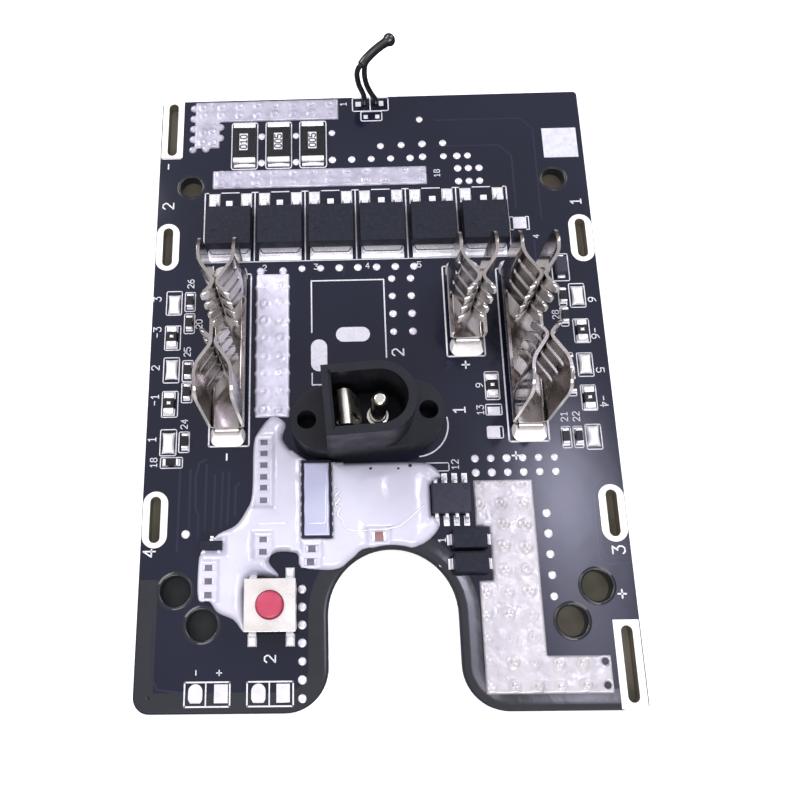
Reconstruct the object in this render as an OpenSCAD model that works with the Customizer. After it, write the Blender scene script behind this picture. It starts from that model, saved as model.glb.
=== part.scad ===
// Battery management board for a five-cell power tool pack.
// Board with plated tab slots, six power transistors, three spring blade terminals,
// a barrel charging jack, a push switch and a potted controller.
// X runs to the right, Y to the back edge, Z up; Z = 0 is the board's underside.

/* [Board] */
// Width of the board
board_w = 61; // [60:0.5:66]
// Length of the board
board_l = 85.4; // [84.6:0.2:92]
// Thickness of the laminate
board_t = 1.6; // [1.2:0.1:2.4]
// Radius of the three tight corners
corner_r = 0.6; // [0.2:0.1:1]
// Radius of the front left corner
front_left_r = 2; // [1:0.25:3]

/* [Front notch] */
// Width of the U-shaped notch
notch_w = 16.1; // [15:0.1:16.6]
// Depth of the notch, from the front edge to the top of its arch
notch_depth = 19.2; // [16:0.2:19.4]
// Offset of the notch to the right of the centre line
notch_x = 1; // [0.6:0.1:1.4]
// Radius where the notch meets the front edge
notch_lip_r = 5.2; // [1:0.2:6]

/* [Fixing holes] */
// Diameter of the two rear holes
rear_hole_d = 3.2; // [2.6:0.1:3.6]
// Distance between the two rear holes
rear_hole_span = 51.6; // [50.8:0.2:52]
// Diameter of the four front holes
front_hole_d = 4; // [3:0.1:4.2]
// Distance between the outer pair of front holes
outer_hole_span = 51.8; // [51.2:0.2:52.2]
// Distance between the inner pair of front holes
inner_hole_span = 45; // [44.6:0.2:45.4]

/* [Tab slots] */
// Width of the slots for the cell tabs
slot_w = 1.4; // [1:0.1:1.6]
// Length of the four short slots
slot_l = 5.9; // [5:0.1:6.2]
// Length of the two long slots
long_slot_l = 8.8; // [8:0.1:9]
// Width of the tinned land round a slot
land_w = 3.2; // [2.8:0.1:3.4]
// Distance from the side edge to the middle of a slot
slot_inset = 1.7; // [1.75:0.05:2]

/* [Blade terminals] */
// Height of the terminals above the board
terminal_h = 15; // [13.5:0.5:17]
// Width over the two walls of a terminal
terminal_w = 4.7; // [4.5:0.1:4.9]
// Thickness of the sheet metal
sheet_t = 0.4; // [0.35:0.05:0.5]
// Number of spring fingers in each stack
finger_count = 4; // [3:1:4]
// Width of the slit between two fingers
finger_slit = 0.9; // [0.6:0.05:1]
// Gap between facing fingers where they grip the blade
blade_gap = 0.15; // [0.1:0.05:0.6]
// Length of a finger from its root to its tip
finger_l = 4.7; // [4.3:0.1:4.9]
// Distance from the middle of a terminal to a finger's tip
tip_y = 2.1; // [1.6:0.1:2.4]

/* [Power transistors] */
// Number of power transistors
transistor_count = 6; // [6:1:6]
// Distance between neighbouring transistors
transistor_pitch = 7.12; // [7.06:0.02:7.16]
// Height of a transistor body
transistor_h = 2.3; // [2:0.1:2.6]

/* [Charging jack] */
// Height of the jack above the board
jack_h = 12.5; // [11.5:0.5:14]
// Depth of the jack's tower, front to back
jack_depth = 8.7; // [8.3:0.1:8.9]
// Diameter of the round end of the socket
socket_d = 6.6; // [6.2:0.1:7]
// Diameter of the centre pin
jack_pin_d = 2; // [1.6:0.1:2.4]
// Angle by which the jack is turned on the board
jack_turn = 4; // [2:0.5:4]

/* [Push switch] */
// Width and depth of the switch
switch_w = 6.2; // [5.8:0.1:6.4]
// Height of the switch body above the board
switch_h = 3.5; // [3:0.1:4.2]
// Diameter of the button
button_d = 3.1; // [2.6:0.1:3.5]
// How far the button stands out of the cover
button_out = 0.8; // [0.6:0.1:1.4]

/* [Tinned strips] */
// Thickness of the tinned strips
strip_t = 0.35; // [0.2:0.05:0.5]
// Diameter of the plated vias
via_d = 1.1; // [0.8:0.1:1.2]

/* [Potting] */
// Thickness of the silicone potting
potting_t = 1.3; // [1.1:0.1:1.5]

/* [Temperature sensor] */
// Height of the sensor bead above the board
sensor_h = 7.5; // [6:0.5:9]
// Diameter of the sensor bead
bead_d = 1.9; // [1.6:0.1:2.4]
// Diameter of the sensor's leads
lead_d = 0.6; // [0.4:0.05:0.7]

/* [Hidden] */
$fn = 48;

// A hair of extra depth that lets a cut pass clean through a face
over = 0.5;
half_w = board_w / 2;
half_l = board_l / 2;
top = board_t;
// Thickness of the tinned copper that components sit on
pad_t = 0.12;
seat = top + pad_t;
// Length of the tails below the board, on which it rests
tail_l = 1;

// Places of the holes and slots
rear_hole_y = half_l - 14.4;
outer_hole_y = -half_l + 14.3;
inner_hole_y = -half_l + 10.2;
slot_x = half_w - slot_inset;
back_slot_y = 18.8;
front_slot_y = -19.5;
minus_slot_y = half_l - 0.4 - long_slot_l / 2;
plus_slot_y = -half_l + 0.8 + long_slot_l / 2;
// Output strip: its left side, its width and the end of its lower arm
output_x = 11.6;
output_w = 7.5;
output_end = half_w - 3.9;
// Columns of parts along the two side edges
left_link_x = -half_w + 3;
left_small_x = -half_w + 5.2;
right_link_x = half_w - 3.1;
right_small_x = half_w - 5.1;
// Width of the tinned ring beyond the end of a slot
land_end = 0.65;

// Terminals: middles, and the measures of the stamping
minus_x = -19.75;
plus_x = 19.3;
charge_x = 12;
terminal_y = 2.7;
floor_z = top + 1.1;
rail_top = top + 3.2;
bend_r = 0.8;
inner_bend_r = bend_r - sheet_t;
root_y = tip_y + finger_l;
pinch_y = tip_y + 0.35 * finger_l;
wing_l = 4.4;
wing_corner = 2.6;
slit_past_root = 0.2;
finger_tip_r = 0.9;
pinch_round = 0.8;
foot_y = root_y + wing_l;
foot_w = 3;
foot_clear = 0.15;
mound_l = 2.75;
mound_shift = 0.28;
charge_front_y = 3.3;
charge_feet = [charge_front_y, terminal_y + foot_y];
wall_x = terminal_w / 2 - sheet_t / 2;
pinch_x = blade_gap / 2 + sheet_t / 2;
finger_tip_x = wall_x - 0.6;
finger_top = top + terminal_h;
finger_pitch = (terminal_h - 3.2) / finger_count;
finger_h = finger_pitch - finger_slit;

// Transistors
transistor_x = -2.3;
transistor_y = 20.95;
transistor_w = 6.5;
transistor_l = 6.1;
frame_t = 0.5;
lead_pitch = 2.28;

// Shunt resistors
shunt_x = [-18.2, -13.25, -8.3];
shunt_y = 35;
shunt_size = [3.2, 6.4, 0.7];
shunt_end_l = 0.75;

// Charging jack
jack_at = [-1.64, -7.48];
tower_left = 5.4;
tower_round_x = 1.3;
ear_h = 4.8;
ear_hole_x = 7.67;
ear_hole_d = 2.4;
ear_half_l = 9.7;
ear_r = 4.2;
socket_left = 4.3;
socket_floor = 3;
jack_pin_top = jack_h - 1.2;
jack_collar_d = 2.9;
jack_collar_h = 1;
contact_x = -3.5;
contact_top = jack_h - 3;
contact_w = 4.4;
contact_t = 0.3;
contact_fold_r = 0.65;
contact_slope = 16;
contact_fall = 5;
jack_tail_d = 1.1;
jack_tail_x = [contact_x, tower_round_x];
jack_clear = 0.1;

// Push switch
switch_at = [-13.9, -30.4];
cover_t = 0.3;
button_clear = 0.15;
button_travel = 0.25;
flange_d = button_d + 1;
flange_t = 0.6;
dome_h = 0.35;
dome_d = 3.4;
pocket_z = switch_h - cover_t - flange_t - button_travel - dome_h - 0.05;
leg_x = 2.25;
leg_w = 0.9;
leg_reach = 1.3;

// Controller, protector and the small parts round them
controller_at = [-8.25, -17.3];
controller_size = [3.9, 9.9, 1.45];
controller_pins = 8;
protector_at = [8.65, -17.5];
protector_size = [4.9, 3.9, 1.45];
pin_pitch = 1.27;
pin_reach = 1.05;
pin_t = 0.2;
pin_w = 0.42;
diode_at = [[10.6, -22.65], [10.6, -25.6]];
diode_size = [4.4, 2.5, 2];
driver_at = [-21.45, -22.95];
clamp_at = [right_small_x + 0.05, 14.35];
potted_x = -15;
potted_y = [-9.76, -11.23, -12.76, -14.3, -15.7, -17.32, -22.26, -23.79];
potted_left_x = -21.75;
potted_left_y = [-25.66, -27.3, -28.96];
potted_loose = [[-8.92, -23.5], [-9.1, -25.1]];
potted_cap_at = [-0.53, -22.1];
potted_cap_size = [1.8, 1.1, 0.8];
chip_h = 0.5;
chip_w = 0.85;
chip_l = 1.6;
chip_end_l = 0.35;
balance_size = [1.35, 2.8, 0.5];
balance_end_l = 0.75;
link_size = [1.4, 2.75, 0.5];
film_t = 0.12;
film_margin = 0.75;

// Potting outline, counter-clockwise from the front of the jack's left ear
potting_outline = [
    [-12.2, -7.2], [-13.6, -6.2], [-14.6, -6.6], [-15.8, -8.2], [-16.4, -10],
    [-16.5, -16.4], [-17.3, -18.6], [-18.6, -20.4], [-20.8, -21.5], [-22.7, -23.7],
    [-23.1, -25], [-23, -29.4], [-21.6, -29.7], [-20.6, -31], [-18.6, -31.9],
    [-17.1, -33.2], [-17.1, -27.1], [-13.1, -26.9], [-14.3, -25], [-13.4, -23.8],
    [-10.8, -24], [-10.4, -25.6], [-8, -26], [-5.6, -25.9], [-3.8, -24.6],
    [-1.9, -23.4], [4, -23.4], [7, -21.1], [6.4, -19.2], [6.5, -15.5],
    [7.6, -14.6], [6.7, -13.2], [4.4, -12.6], [-5, -12.6], [-8.6, -12.6],
    [-11, -11.2], [-12.6, -9.2]
];

// ---------------------------------------------------------------- small helpers

// Quarter-round waste at a corner of the origin's first quadrant
module corner_waste(r) {
    difference() {
        translate([-over, -over]) square(r + over);
        translate([r, r]) circle(r);
    }
}

// Obround outline, its long axis along Y
module obround(w, l) {
    translate([-w / 2, -(l - w) / 2]) square([w, l - w]);
    for (s = [-1, 1]) translate([0, s * (l - w) / 2]) circle(d = w);
}

// Rectangle with round corners, centred
module round_rect(w, l, r) {
    square([w - 2 * r, l], center = true);
    square([w, l - 2 * r], center = true);
    for (x = [-1, 1], y = [-1, 1])
        translate([x * (w / 2 - r), y * (l / 2 - r)]) circle(r);
}

// Block standing on z = 0, centred in X and Y
module block(w, l, h) {
    translate([-w / 2, -l / 2, 0]) cube([w, l, h]);
}

// Outline in Y and Z, pushed through the width w along X
module across(w) {
    translate([-w / 2, 0, 0]) rotate([90, 0, 90]) linear_extrude(w) children();
}

// Outline in X and Z, pushed through the length l along Y
module along(l) {
    translate([0, l / 2, 0]) rotate([90, 0, 0]) linear_extrude(l) children();
}

// Moulded block with drafted sides that meet at the parting height
module moulded(w, l, h, parting, draft) {
    intersection() {
        along(l + 2) drafted_outline(w, h, parting, draft);
        across(w + 2) drafted_outline(l, h, parting, draft);
    }
}

module drafted_outline(w, h, parting, draft) {
    polygon([
        [-w / 2 + draft, 0], [w / 2 - draft, 0], [w / 2, parting],
        [w / 2 - draft, h], [-w / 2 + draft, h], [-w / 2, parting]
    ]);
}

// Gull-wing lead that leaves a body at y = 0 and steps down to the foot, along +Y
module gull_lead(w, shoulder_z, reach, t) {
    bend = reach * 0.45;
    across(w) polygon([
        [0, shoulder_z], [bend, shoulder_z], [bend + t, 0], [reach, 0],
        [reach, t], [bend + 1.6 * t, t], [bend + 0.5 * t, shoulder_z + t], [0, shoulder_z + t]
    ]);
}

// Chip component with its long axis along Y: the dark block between its ends
module chip_block(w, l, h, end_l) {
    block(w, l - 2 * end_l, h);
}

// The two metal ends of a chip component
module chip_ends(w, l, h, end_l) {
    for (s = [-1, 1]) translate([0, s * (l - end_l) / 2, 0]) block(w, end_l, h);
}

// Round bar from one point to the next, with a ball at each joint
module wire(points, d) {
    for (i = [0 : len(points) - 2]) {
        a = points[i];
        step = points[i + 1] - a;
        span = norm(step);
        translate(a) rotate([0, acos(step.z / span), atan2(step.y, step.x)])
            cylinder(d = d, h = span);
    }
    for (i = [1 : 1 : len(points) - 2]) translate(points[i]) sphere(d = 1.04 * d);
}

// ---------------------------------------------------------------- board

module board_outline() {
    difference() {
        square([board_w, board_l], center = true);
        translate([-half_w, -half_l]) corner_waste(front_left_r);
        translate([half_w, -half_l]) mirror([1, 0]) corner_waste(corner_r);
        translate([-half_w, half_l]) mirror([0, 1]) corner_waste(corner_r);
        translate([half_w, half_l]) rotate(180) corner_waste(corner_r);
        notch_outline();
    }
}

module notch_outline() {
    arch_y = -half_l + notch_depth - notch_w / 2;
    translate([notch_x, arch_y]) circle(d = notch_w, $fn = 96);
    translate([notch_x - notch_w / 2, -half_l - over])
        square([notch_w, arch_y + half_l + over]);
    translate([notch_x - notch_w / 2, -half_l]) mirror([1, 0]) corner_waste(notch_lip_r);
    translate([notch_x + notch_w / 2, -half_l]) corner_waste(notch_lip_r);
}

module fixing_holes() {
    for (s = [-1, 1]) {
        translate([s * rear_hole_span / 2, rear_hole_y]) circle(d = rear_hole_d);
        translate([s * outer_hole_span / 2, outer_hole_y]) circle(d = front_hole_d);
        translate([s * inner_hole_span / 2, inner_hole_y]) circle(d = front_hole_d);
    }
}

module tab_slots() {
    for (s = [-1, 1]) {
        translate([s * slot_x, back_slot_y]) obround(slot_w, slot_l);
        translate([s * slot_x, front_slot_y]) obround(slot_w, slot_l);
    }
    translate([-slot_x, minus_slot_y]) obround(slot_w, long_slot_l);
    translate([slot_x, plus_slot_y]) obround(slot_w, long_slot_l);
}

// Slots in the board for the feet of the terminals and the jack's tails
module foot_slots() {
    slot = [foot_w + 2 * foot_clear, sheet_t + 2 * foot_clear];
    for (x = [minus_x, plus_x], s = [-1, 1])
        translate([x, terminal_y + s * foot_y]) square(slot, center = true);
    for (y = charge_feet) translate([charge_x, y]) square(slot, center = true);
    translate(jack_at) rotate(jack_turn) for (x = jack_tail_x)
        translate([x, 0]) circle(d = jack_tail_d + 2 * foot_clear);
}

module board() {
    color([0.15, 0.16, 0.2]) linear_extrude(board_t) difference() {
        board_outline();
        fixing_holes();
        tab_slots();
        foot_slots();
    }
}

// ---------------------------------------------------------------- tinned copper

module slot_lands() {
    color([0.85, 0.84, 0.9]) translate([0, 0, top]) linear_extrude(pad_t) difference() {
        union() {
            for (s = [-1, 1], y = [back_slot_y, front_slot_y])
                translate([s * slot_x, y]) obround(land_w, slot_l + 2 * land_end);
            translate([-slot_x, minus_slot_y])
                square([land_w - 0.1, long_slot_l + 2 * 0.35], center = true);
            translate([slot_x, plus_slot_y])
                square([land_w - 0.1, long_slot_l + 2 * land_end], center = true);
        }
        tab_slots();
    }
}

// Half-round vias that break the edge of a strip
module edge_vias(places) {
    for (p = places) translate(p) circle(d = via_d);
}

module strip_back_corner() {
    color([0.84, 0.83, 0.9]) translate([0, 0, top]) linear_extrude(strip_t) {
        translate([-half_w + 4.9, half_l - 3.85]) square([half_w - 9.4, 3.55]);
        translate([-half_w + 4.9, half_l - 8.1]) square([3.7, 4.5]);
        edge_vias([for (i = [0 : 4]) [-half_w + 4.7, half_l - 1.3 - 1.75 * i]]);
        edge_vias([[-half_w + 8.7, half_l - 4.6], [-half_w + 8.7, half_l - 6.4]]);
        edge_vias([[-half_w + 6.6, half_l - 8.2]]);
    }
}

module strip_shunts() {
    color([0.84, 0.83, 0.9]) translate([0, 0, top]) linear_extrude(strip_t)
        translate([-22.75, 27.85]) square([30.7, 2.9]);
}

module strip_left() {
    color([0.84, 0.83, 0.9]) translate([0, 0, top]) linear_extrude(strip_t) {
        translate([-16.25, -6.3]) square([4.5, 20.6]);
        edge_vias([for (x = [-15.85, -12.18], i = [0 : 7]) [x, -5.2 + 2.5 * i]]);
        edge_vias([[-15.7, 14.75], [-12.6, 14.75]]);
    }
}

module strip_output() {
    color([0.84, 0.83, 0.9]) translate([0, 0, top]) linear_extrude(strip_t) difference() {
        union() {
            translate([output_x, -half_l + 1.9]) square([output_w, half_l - 17]);
            translate([output_x + output_w - 0.2, -half_l + 1.9])
                square([output_end - output_x - output_w + 0.2, 4.3]);
        }
        translate([output_x - 0.6, -27.6]) square([2.3, 6.6]);
        for (y = [2.8, 5.5]) translate([output_end - 0.7, -half_l + y]) circle(d = 0.85);
    }
}

// Plated vias that stand alone
function via_row(x0, y0, dx, dy, n) = [for (i = [0 : n - 1]) [x0 + dx * i, y0 + dy * i]];
via_places = concat(
    via_row(-9.98, 15.05, 2.58, 0, 7),
    via_row(2.35, 13.25, 0, -2.61, 4),
    via_row(4.94, 13.25, 0, -2.61, 4),
    via_row(12.07, -12.25, 2.03, 0, 6),
    via_row(12.07, -14.1, 2.03, 0, 2),
    via_row(16.13, -14.1, 2.03, 0, 4),
    via_row(20.57, -19.4, 0, -2.55, 5),
    via_row(-10.2, -28.35, 0, -2.12, 7),
    via_row(1.5, 34.3, 3, 0.08, 4),
    via_row(-5.5, 32.2, 2.8, 0, 5),
    via_row(12.42, 32.35, 1.52, 0, 2),
    via_row(12.42, 30.3, 1.52, 0, 3),
    via_row(12.42, 28.2, 1.5, 0, 3),
    via_row(7.5, 32.35, 3, 0, 2),
    [[-15.75, 36.4], [-10.75, 36.4], [-15.75, 32], [-10.75, 32], [-5.5, 36.7]],
    [[7.3, 38.6], [-half_w + 5.65, -21.4], [7.55, 34.5]]
);

module via_caps() {
    color([0.9, 0.9, 0.95]) for (p = via_places)
        translate([p.x, p.y, top]) cylinder(d = via_d, h = pad_t);
}

// Pads that the surface-mounted components sit on
module solder_pads() {
    color([0.82, 0.82, 0.88]) translate([0, 0, top]) linear_extrude(pad_t) {
        for (i = [1 : transistor_count]) translate([transistor_place(i), transistor_y])
            transistor_pads();
        for (x = shunt_x, s = [-1, 1]) translate([x, shunt_y + s * 2.95])
            square([3.1, 1.5], center = true);
        balance_places() for (s = [-1, 1]) translate([0, s * 1.15])
            square([1.55, 0.95], center = true);
        small_places() for (s = [-1, 1]) translate([0, s * 0.75])
            square([0.9, 0.8], center = true);
        translate(protector_at) for (i = [0 : 3], s = [-1, 1])
            translate([(i - 1.5) * pin_pitch, s * 2.7]) square([0.7, 1.3], center = true);
    }
}

// Smooth closed curve through a list of points, n steps to each
function curve_point(a, b, c, d, t) = 0.5 * (2 * b + (c - a) * t
    + (2 * a - 5 * b + 4 * c - d) * t * t + (3 * b - 3 * c + d - a) * t * t * t);
function smooth(p, n) = let (m = len(p)) [for (i = [0 : m - 1], k = [0 : n - 1])
    curve_point(p[(i + m - 1) % m], p[i], p[(i + 1) % m], p[(i + 2) % m], k / n)];

// ---------------------------------------------------------------- power transistors

function transistor_place(i) = transistor_x
    + (i - (transistor_count + 1) / 2) * transistor_pitch;

module transistor_pads() {
    translate([-2.95, -4.6]) square([5.9, 5.4]);
    for (s = [-1, 1]) translate([s * lead_pitch - 0.77, 3.8]) square([1.54, 2.25]);
}

// Tab, two formed leads and the cropped middle lead, relative to the body's centre
module transistor_metal() {
    linear_extrude(frame_t) {
        translate([0, -3.3]) round_rect(5.5, 1.3, 0.35);
        translate([-2.6, -3.1]) square([5.2, 4.6]);
    }
    for (s = [-1, 1]) translate([s * lead_pitch, transistor_l / 2 - 0.5, 0])
        gull_lead(0.8, 0.85, 3.1, frame_t);
    translate([-0.45, transistor_l / 2 - 0.5, 0.85]) cube([0.9, 1.6, frame_t]);
}

module transistor_body(i) {
    color([0.1, 0.1, 0.12]) translate([transistor_place(i), transistor_y, seat]) difference() {
        moulded(transistor_w, transistor_l, transistor_h - pad_t, 0.95, 0.18);
        transistor_metal();
        translate([-1.9, -1.2, transistor_h - pad_t - 0.08]) cylinder(d = 0.9, h = 1);
    }
}

module transistor_leads(i) {
    color([0.78, 0.78, 0.82]) translate([transistor_place(i), transistor_y, seat])
        transistor_metal();
}

// ---------------------------------------------------------------- shunt resistors

module shunt_body(i) {
    color([0.12, 0.12, 0.14]) translate([shunt_x[i - 1], shunt_y, seat]) {
        chip_block(shunt_size.x, shunt_size.y, shunt_size.z, shunt_end_l);
        translate([0, 0, shunt_size.z]) block(shunt_size.x - 0.7, 3.6, 0.06);
    }
}

module shunt_ends() {
    color([0.85, 0.84, 0.88]) for (x = shunt_x) translate([x, shunt_y, seat])
        chip_ends(shunt_size.x, shunt_size.y, shunt_size.z, shunt_end_l);
}

// ---------------------------------------------------------------- blade terminals

// Rounded centre line of one finger and its wall, from the finger's tip outwards
function rounded(a, b, c, r) = let (
    p = b + r * (a - b) / norm(a - b), q = b + r * (c - b) / norm(c - b)
) [for (k = [0 : 7]) let (t = k / 7) (1 - t) * (1 - t) * p + 2 * t * (1 - t) * b + t * t * q];
tip_point = [finger_tip_x, tip_y];
pinch_point = [pinch_x - 0.29 * pinch_round, pinch_y];
root_point = [wall_x, root_y];
wall_end = [wall_x, foot_y + 1];
finger_line = concat(
    [tip_point],
    rounded(tip_point, pinch_point, root_point, pinch_round),
    rounded(pinch_point, root_point, wall_end, 1),
    [wall_end]
);

// The line moved sideways by d
function heading(p, i) = let (
    a = p[max(i - 1, 0)], b = p[min(i + 1, len(p) - 1)]
) (b - a) / norm(b - a);
function moved(p, d) = [for (i = [0 : len(p) - 1])
    let (v = heading(p, i)) p[i] + d * [-v.y, v.x]];
function reversed(p) = [for (i = [len(p) - 1 : -1 : 0]) p[i]];

module finger_plan() {
    polygon(concat(moved(finger_line, sheet_t / 2), reversed(moved(finger_line, -sheet_t / 2))));
    translate(tip_point) circle(d = sheet_t, $fn = 24);
}

// Side view of one stack: fingers with round tips, the wing that carries them,
// and the slits that run on a little way into the wing
module stack_elevation() {
    wing_end = foot_y - bend_r + sheet_t / 2;
    difference() {
        union() {
            polygon(concat(
                [[root_y, floor_z + bend_r], [wing_end, floor_z + bend_r]],
                reversed(rounded([root_y, finger_top], [wing_end - 0.15, finger_top],
                    [wing_end - 0.15, floor_z], wing_corner)),
                [[root_y, finger_top]]
            ));
            for (k = [0 : finger_count - 1])
                translate([tip_y - sheet_t / 2, finger_top - finger_h - k * finger_pitch])
                    finger_side(finger_l + sheet_t / 2 + 0.01, finger_h);
        }
        for (k = [1 : finger_count - 1])
            translate([root_y, finger_top - k * finger_pitch + finger_slit / 2])
                slit_end();
    }
}

module finger_side(l, h) {
    r = min(finger_tip_r, h / 2 - 0.05);
    translate([r, 0]) square([l - r, h]);
    translate([0, r]) square([l, h - 2 * r]);
    for (z = [r, h - r]) translate([r, z]) circle(r, $fn = 36);
}

module slit_end() {
    end_y = slit_past_root - finger_slit / 2;
    translate([-over, -finger_slit / 2]) square([end_y + over, finger_slit]);
    translate([end_y, 0]) circle(d = finger_slit, $fn = 36);
}

module finger_stack() {
    intersection() {
        translate([0, 0, floor_z]) linear_extrude(finger_top - floor_z + 1) {
            finger_plan();
            mirror([1, 0]) finger_plan();
        }
        across(terminal_w + 1) stack_elevation();
    }
}

// Cross-section of the floor with its two low walls
module trough() {
    difference() {
        trough_outline(terminal_w, bend_r);
        translate([0, sheet_t]) trough_outline(terminal_w - 2 * sheet_t, inner_bend_r);
    }
}

module trough_outline(w, r) {
    translate([-w / 2 + r, 0]) square([w - 2 * r, rail_top - floor_z]);
    translate([-w / 2, r]) square([w, rail_top - floor_z]);
    for (s = [-1, 1]) translate([s * (w / 2 - r), r]) circle(r);
}

// Foot bent down from the floor, through the board, for the +Y end
module foot(y) {
    bend_y = y + sheet_t / 2 - bend_r;
    bend_z = floor_z + sheet_t - bend_r;
    across(foot_w) {
        translate([bend_y - 1, floor_z]) square([1.01, sheet_t]);
        translate([y - sheet_t / 2, -tail_l]) square([sheet_t, bend_z + tail_l + 0.01]);
        translate([bend_y, bend_z]) intersection() {
            difference() {
                circle(bend_r);
                circle(inner_bend_r);
            }
            square(bend_r + 1);
        }
    }
}

// Floor and low walls between two places along Y
module rails(y0, y1) {
    translate([0, (y0 + y1) / 2, floor_z]) along(y1 - y0) intersection() {
        trough();
        translate([-terminal_w, 0]) square([2 * terminal_w, rail_top - floor_z]);
    }
}

module blade_terminal() {
    reach = foot_y + sheet_t / 2 - bend_r;
    finger_stack();
    mirror([0, 1, 0]) finger_stack();
    rails(-reach, reach);
    foot(foot_y);
    mirror([0, 1, 0]) foot(foot_y);
}

module terminal_minus() {
    color([0.8, 0.78, 0.76]) translate([minus_x, terminal_y, 0]) blade_terminal();
}

module terminal_plus() {
    color([0.8, 0.78, 0.76]) translate([plus_x, terminal_y, 0]) blade_terminal();
}

module terminal_charge() {
    color([0.8, 0.78, 0.76]) translate([charge_x, 0, 0]) {
        translate([0, terminal_y, 0]) {
            finger_stack();
            foot(foot_y);
        }
        rails(charge_front_y - sheet_t / 2 + bend_r,
            terminal_y + foot_y + sheet_t / 2 - bend_r);
        translate([0, charge_front_y, 0]) mirror([0, 1, 0]) foot(0);
    }
}

// Solder round a foot that faces +Y, above and below the board
module solder_mound(w, l, h) {
    difference() {
        translate([0, mound_shift, 0]) intersection() {
            along(l + 1) polygon([
                [-w / 2, 0], [w / 2, 0], [w / 2, 0.15], [foot_w / 2 + 0.35, h],
                [-foot_w / 2 - 0.35, h], [-w / 2, 0.15]
            ]);
            across(w + 1) polygon([
                [-l / 2, 0], [l / 2, 0], [l / 2, 0.15], [sheet_t - mound_shift, h],
                [-sheet_t - mound_shift, h], [-l / 2, 0.15]
            ]);
            linear_extrude(h) round_rect(w, l, l * 0.42);
        }
        translate([0, 0, -1]) block(foot_w, sheet_t, h + 2);
    }
}

module terminal_solder() {
    color([0.86, 0.85, 0.9]) {
        for (x = [minus_x, plus_x]) translate([x, terminal_y, 0]) {
            translate([0, foot_y, 0]) mound_pair();
            mirror([0, 1, 0]) translate([0, foot_y, 0]) mound_pair();
        }
        translate([charge_x, charge_feet[1], 0]) mound_pair();
        translate([charge_x, charge_feet[0], 0]) mirror([0, 1, 0]) mound_pair();
        translate(jack_at) rotate(jack_turn) for (x = jack_tail_x) translate([x, 0])
            mirror([0, 0, 1]) difference() {
                cylinder(d1 = 2.6, d2 = 1.5, h = 0.7);
                translate([0, 0, -1]) cylinder(d = jack_tail_d, h = 3);
            }
    }
}

module mound_pair() {
    translate([0, 0, top]) solder_mound(4.5, mound_l, 0.8);
    mirror([0, 0, 1]) solder_mound(4.4, mound_l - 0.2, 0.7);
}

// ---------------------------------------------------------------- charging jack

module jack_frame() {
    translate([jack_at.x, jack_at.y, top]) rotate(jack_turn) children();
}

module jack_footprint() {
    round_x = ear_half_l - ear_r;
    translate([-round_x, -jack_depth / 2]) square([2 * round_x, jack_depth]);
    for (s = [-1, 1]) translate([s * round_x, 0]) circle(ear_r, $fn = 72);
}

module tower_outline(left, d) {
    translate([-left, -d / 2]) square([left + tower_round_x, d]);
    translate([tower_round_x, 0]) circle(d = d, $fn = 72);
}

module jack_housing() {
    color([0.09, 0.09, 0.1]) jack_frame() difference() {
        union() {
            linear_extrude(ear_h) jack_footprint();
            linear_extrude(jack_h) tower_outline(tower_left, jack_depth);
        }
        translate([0, 0, socket_floor]) linear_extrude(jack_h) tower_outline(socket_left, socket_d);
        translate([-socket_left - 0.3, -socket_d / 2 - 0.3, jack_h - 0.4])
            cube([0.3, socket_d + 0.6, 1]);
        for (s = [-1, 1]) translate([s * ear_hole_x, 0, -1]) cylinder(d = ear_hole_d, h = ear_h + 2);
        for (x = jack_tail_x) translate([x, 0, -1])
            cylinder(d = jack_tail_d + 2 * jack_clear, h = socket_floor + 2);
    }
}

module jack_pin() {
    color([0.85, 0.84, 0.82]) jack_frame() translate([tower_round_x, 0, 0]) {
        translate([0, 0, socket_floor]) cylinder(d = jack_collar_d, h = jack_collar_h);
        translate([0, 0, socket_floor]) cylinder(d = jack_pin_d, h = jack_pin_top - socket_floor - 0.4);
        translate([0, 0, jack_pin_top - 0.4]) cylinder(d1 = jack_pin_d, d2 = jack_pin_d - 0.8, h = 0.4);
        translate([0, 0, -top - tail_l]) cylinder(d = jack_tail_d, h = socket_floor + top + tail_l + 0.1);
    }
}

module jack_contact() {
    fold_x = contact_x + contact_t / 2 + contact_fold_r;
    fold_z = contact_top - contact_fold_r - contact_t / 2;
    outer = contact_fold_r + contact_t / 2;
    color([0.88, 0.87, 0.86]) jack_frame() {
        along(contact_w) {
            translate([contact_x - contact_t / 2, socket_floor])
                square([contact_t, fold_z - socket_floor]);
            translate([contact_x - contact_t / 2, socket_floor]) square([1.3, contact_t]);
            translate([contact_x + contact_fold_r, fold_z]) {
                difference() {
                    circle(outer);
                    circle(outer - contact_t);
                    translate([-outer - 1, -outer - 1]) square([2 * outer + 2, outer + 1]);
                }
                rotate(contact_slope) translate([outer - contact_t, -contact_fall])
                    square([contact_t, contact_fall]);
                intersection() {
                    difference() {
                        circle(outer);
                        circle(outer - contact_t);
                    }
                    polygon([[0, 0], [2, 0], [2, 2], [2 * cos(contact_slope), 2 * sin(contact_slope)]]);
                }
            }
        }
        translate([contact_x, 0, -top - tail_l]) cylinder(d = jack_tail_d, h = socket_floor + top + tail_l);
    }
}

// ---------------------------------------------------------------- push switch

module switch_frame() {
    translate([switch_at.x, switch_at.y, top]) children();
}

module switch_base() {
    color([0.1, 0.1, 0.11]) switch_frame() difference() {
        block(switch_w - 2 * cover_t, switch_w - 0.2, switch_h - cover_t);
        translate([0, 0, pocket_z]) cylinder(d = flange_d + 2 * button_clear, h = switch_h);
        switch_leg_shapes();
    }
}

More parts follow.
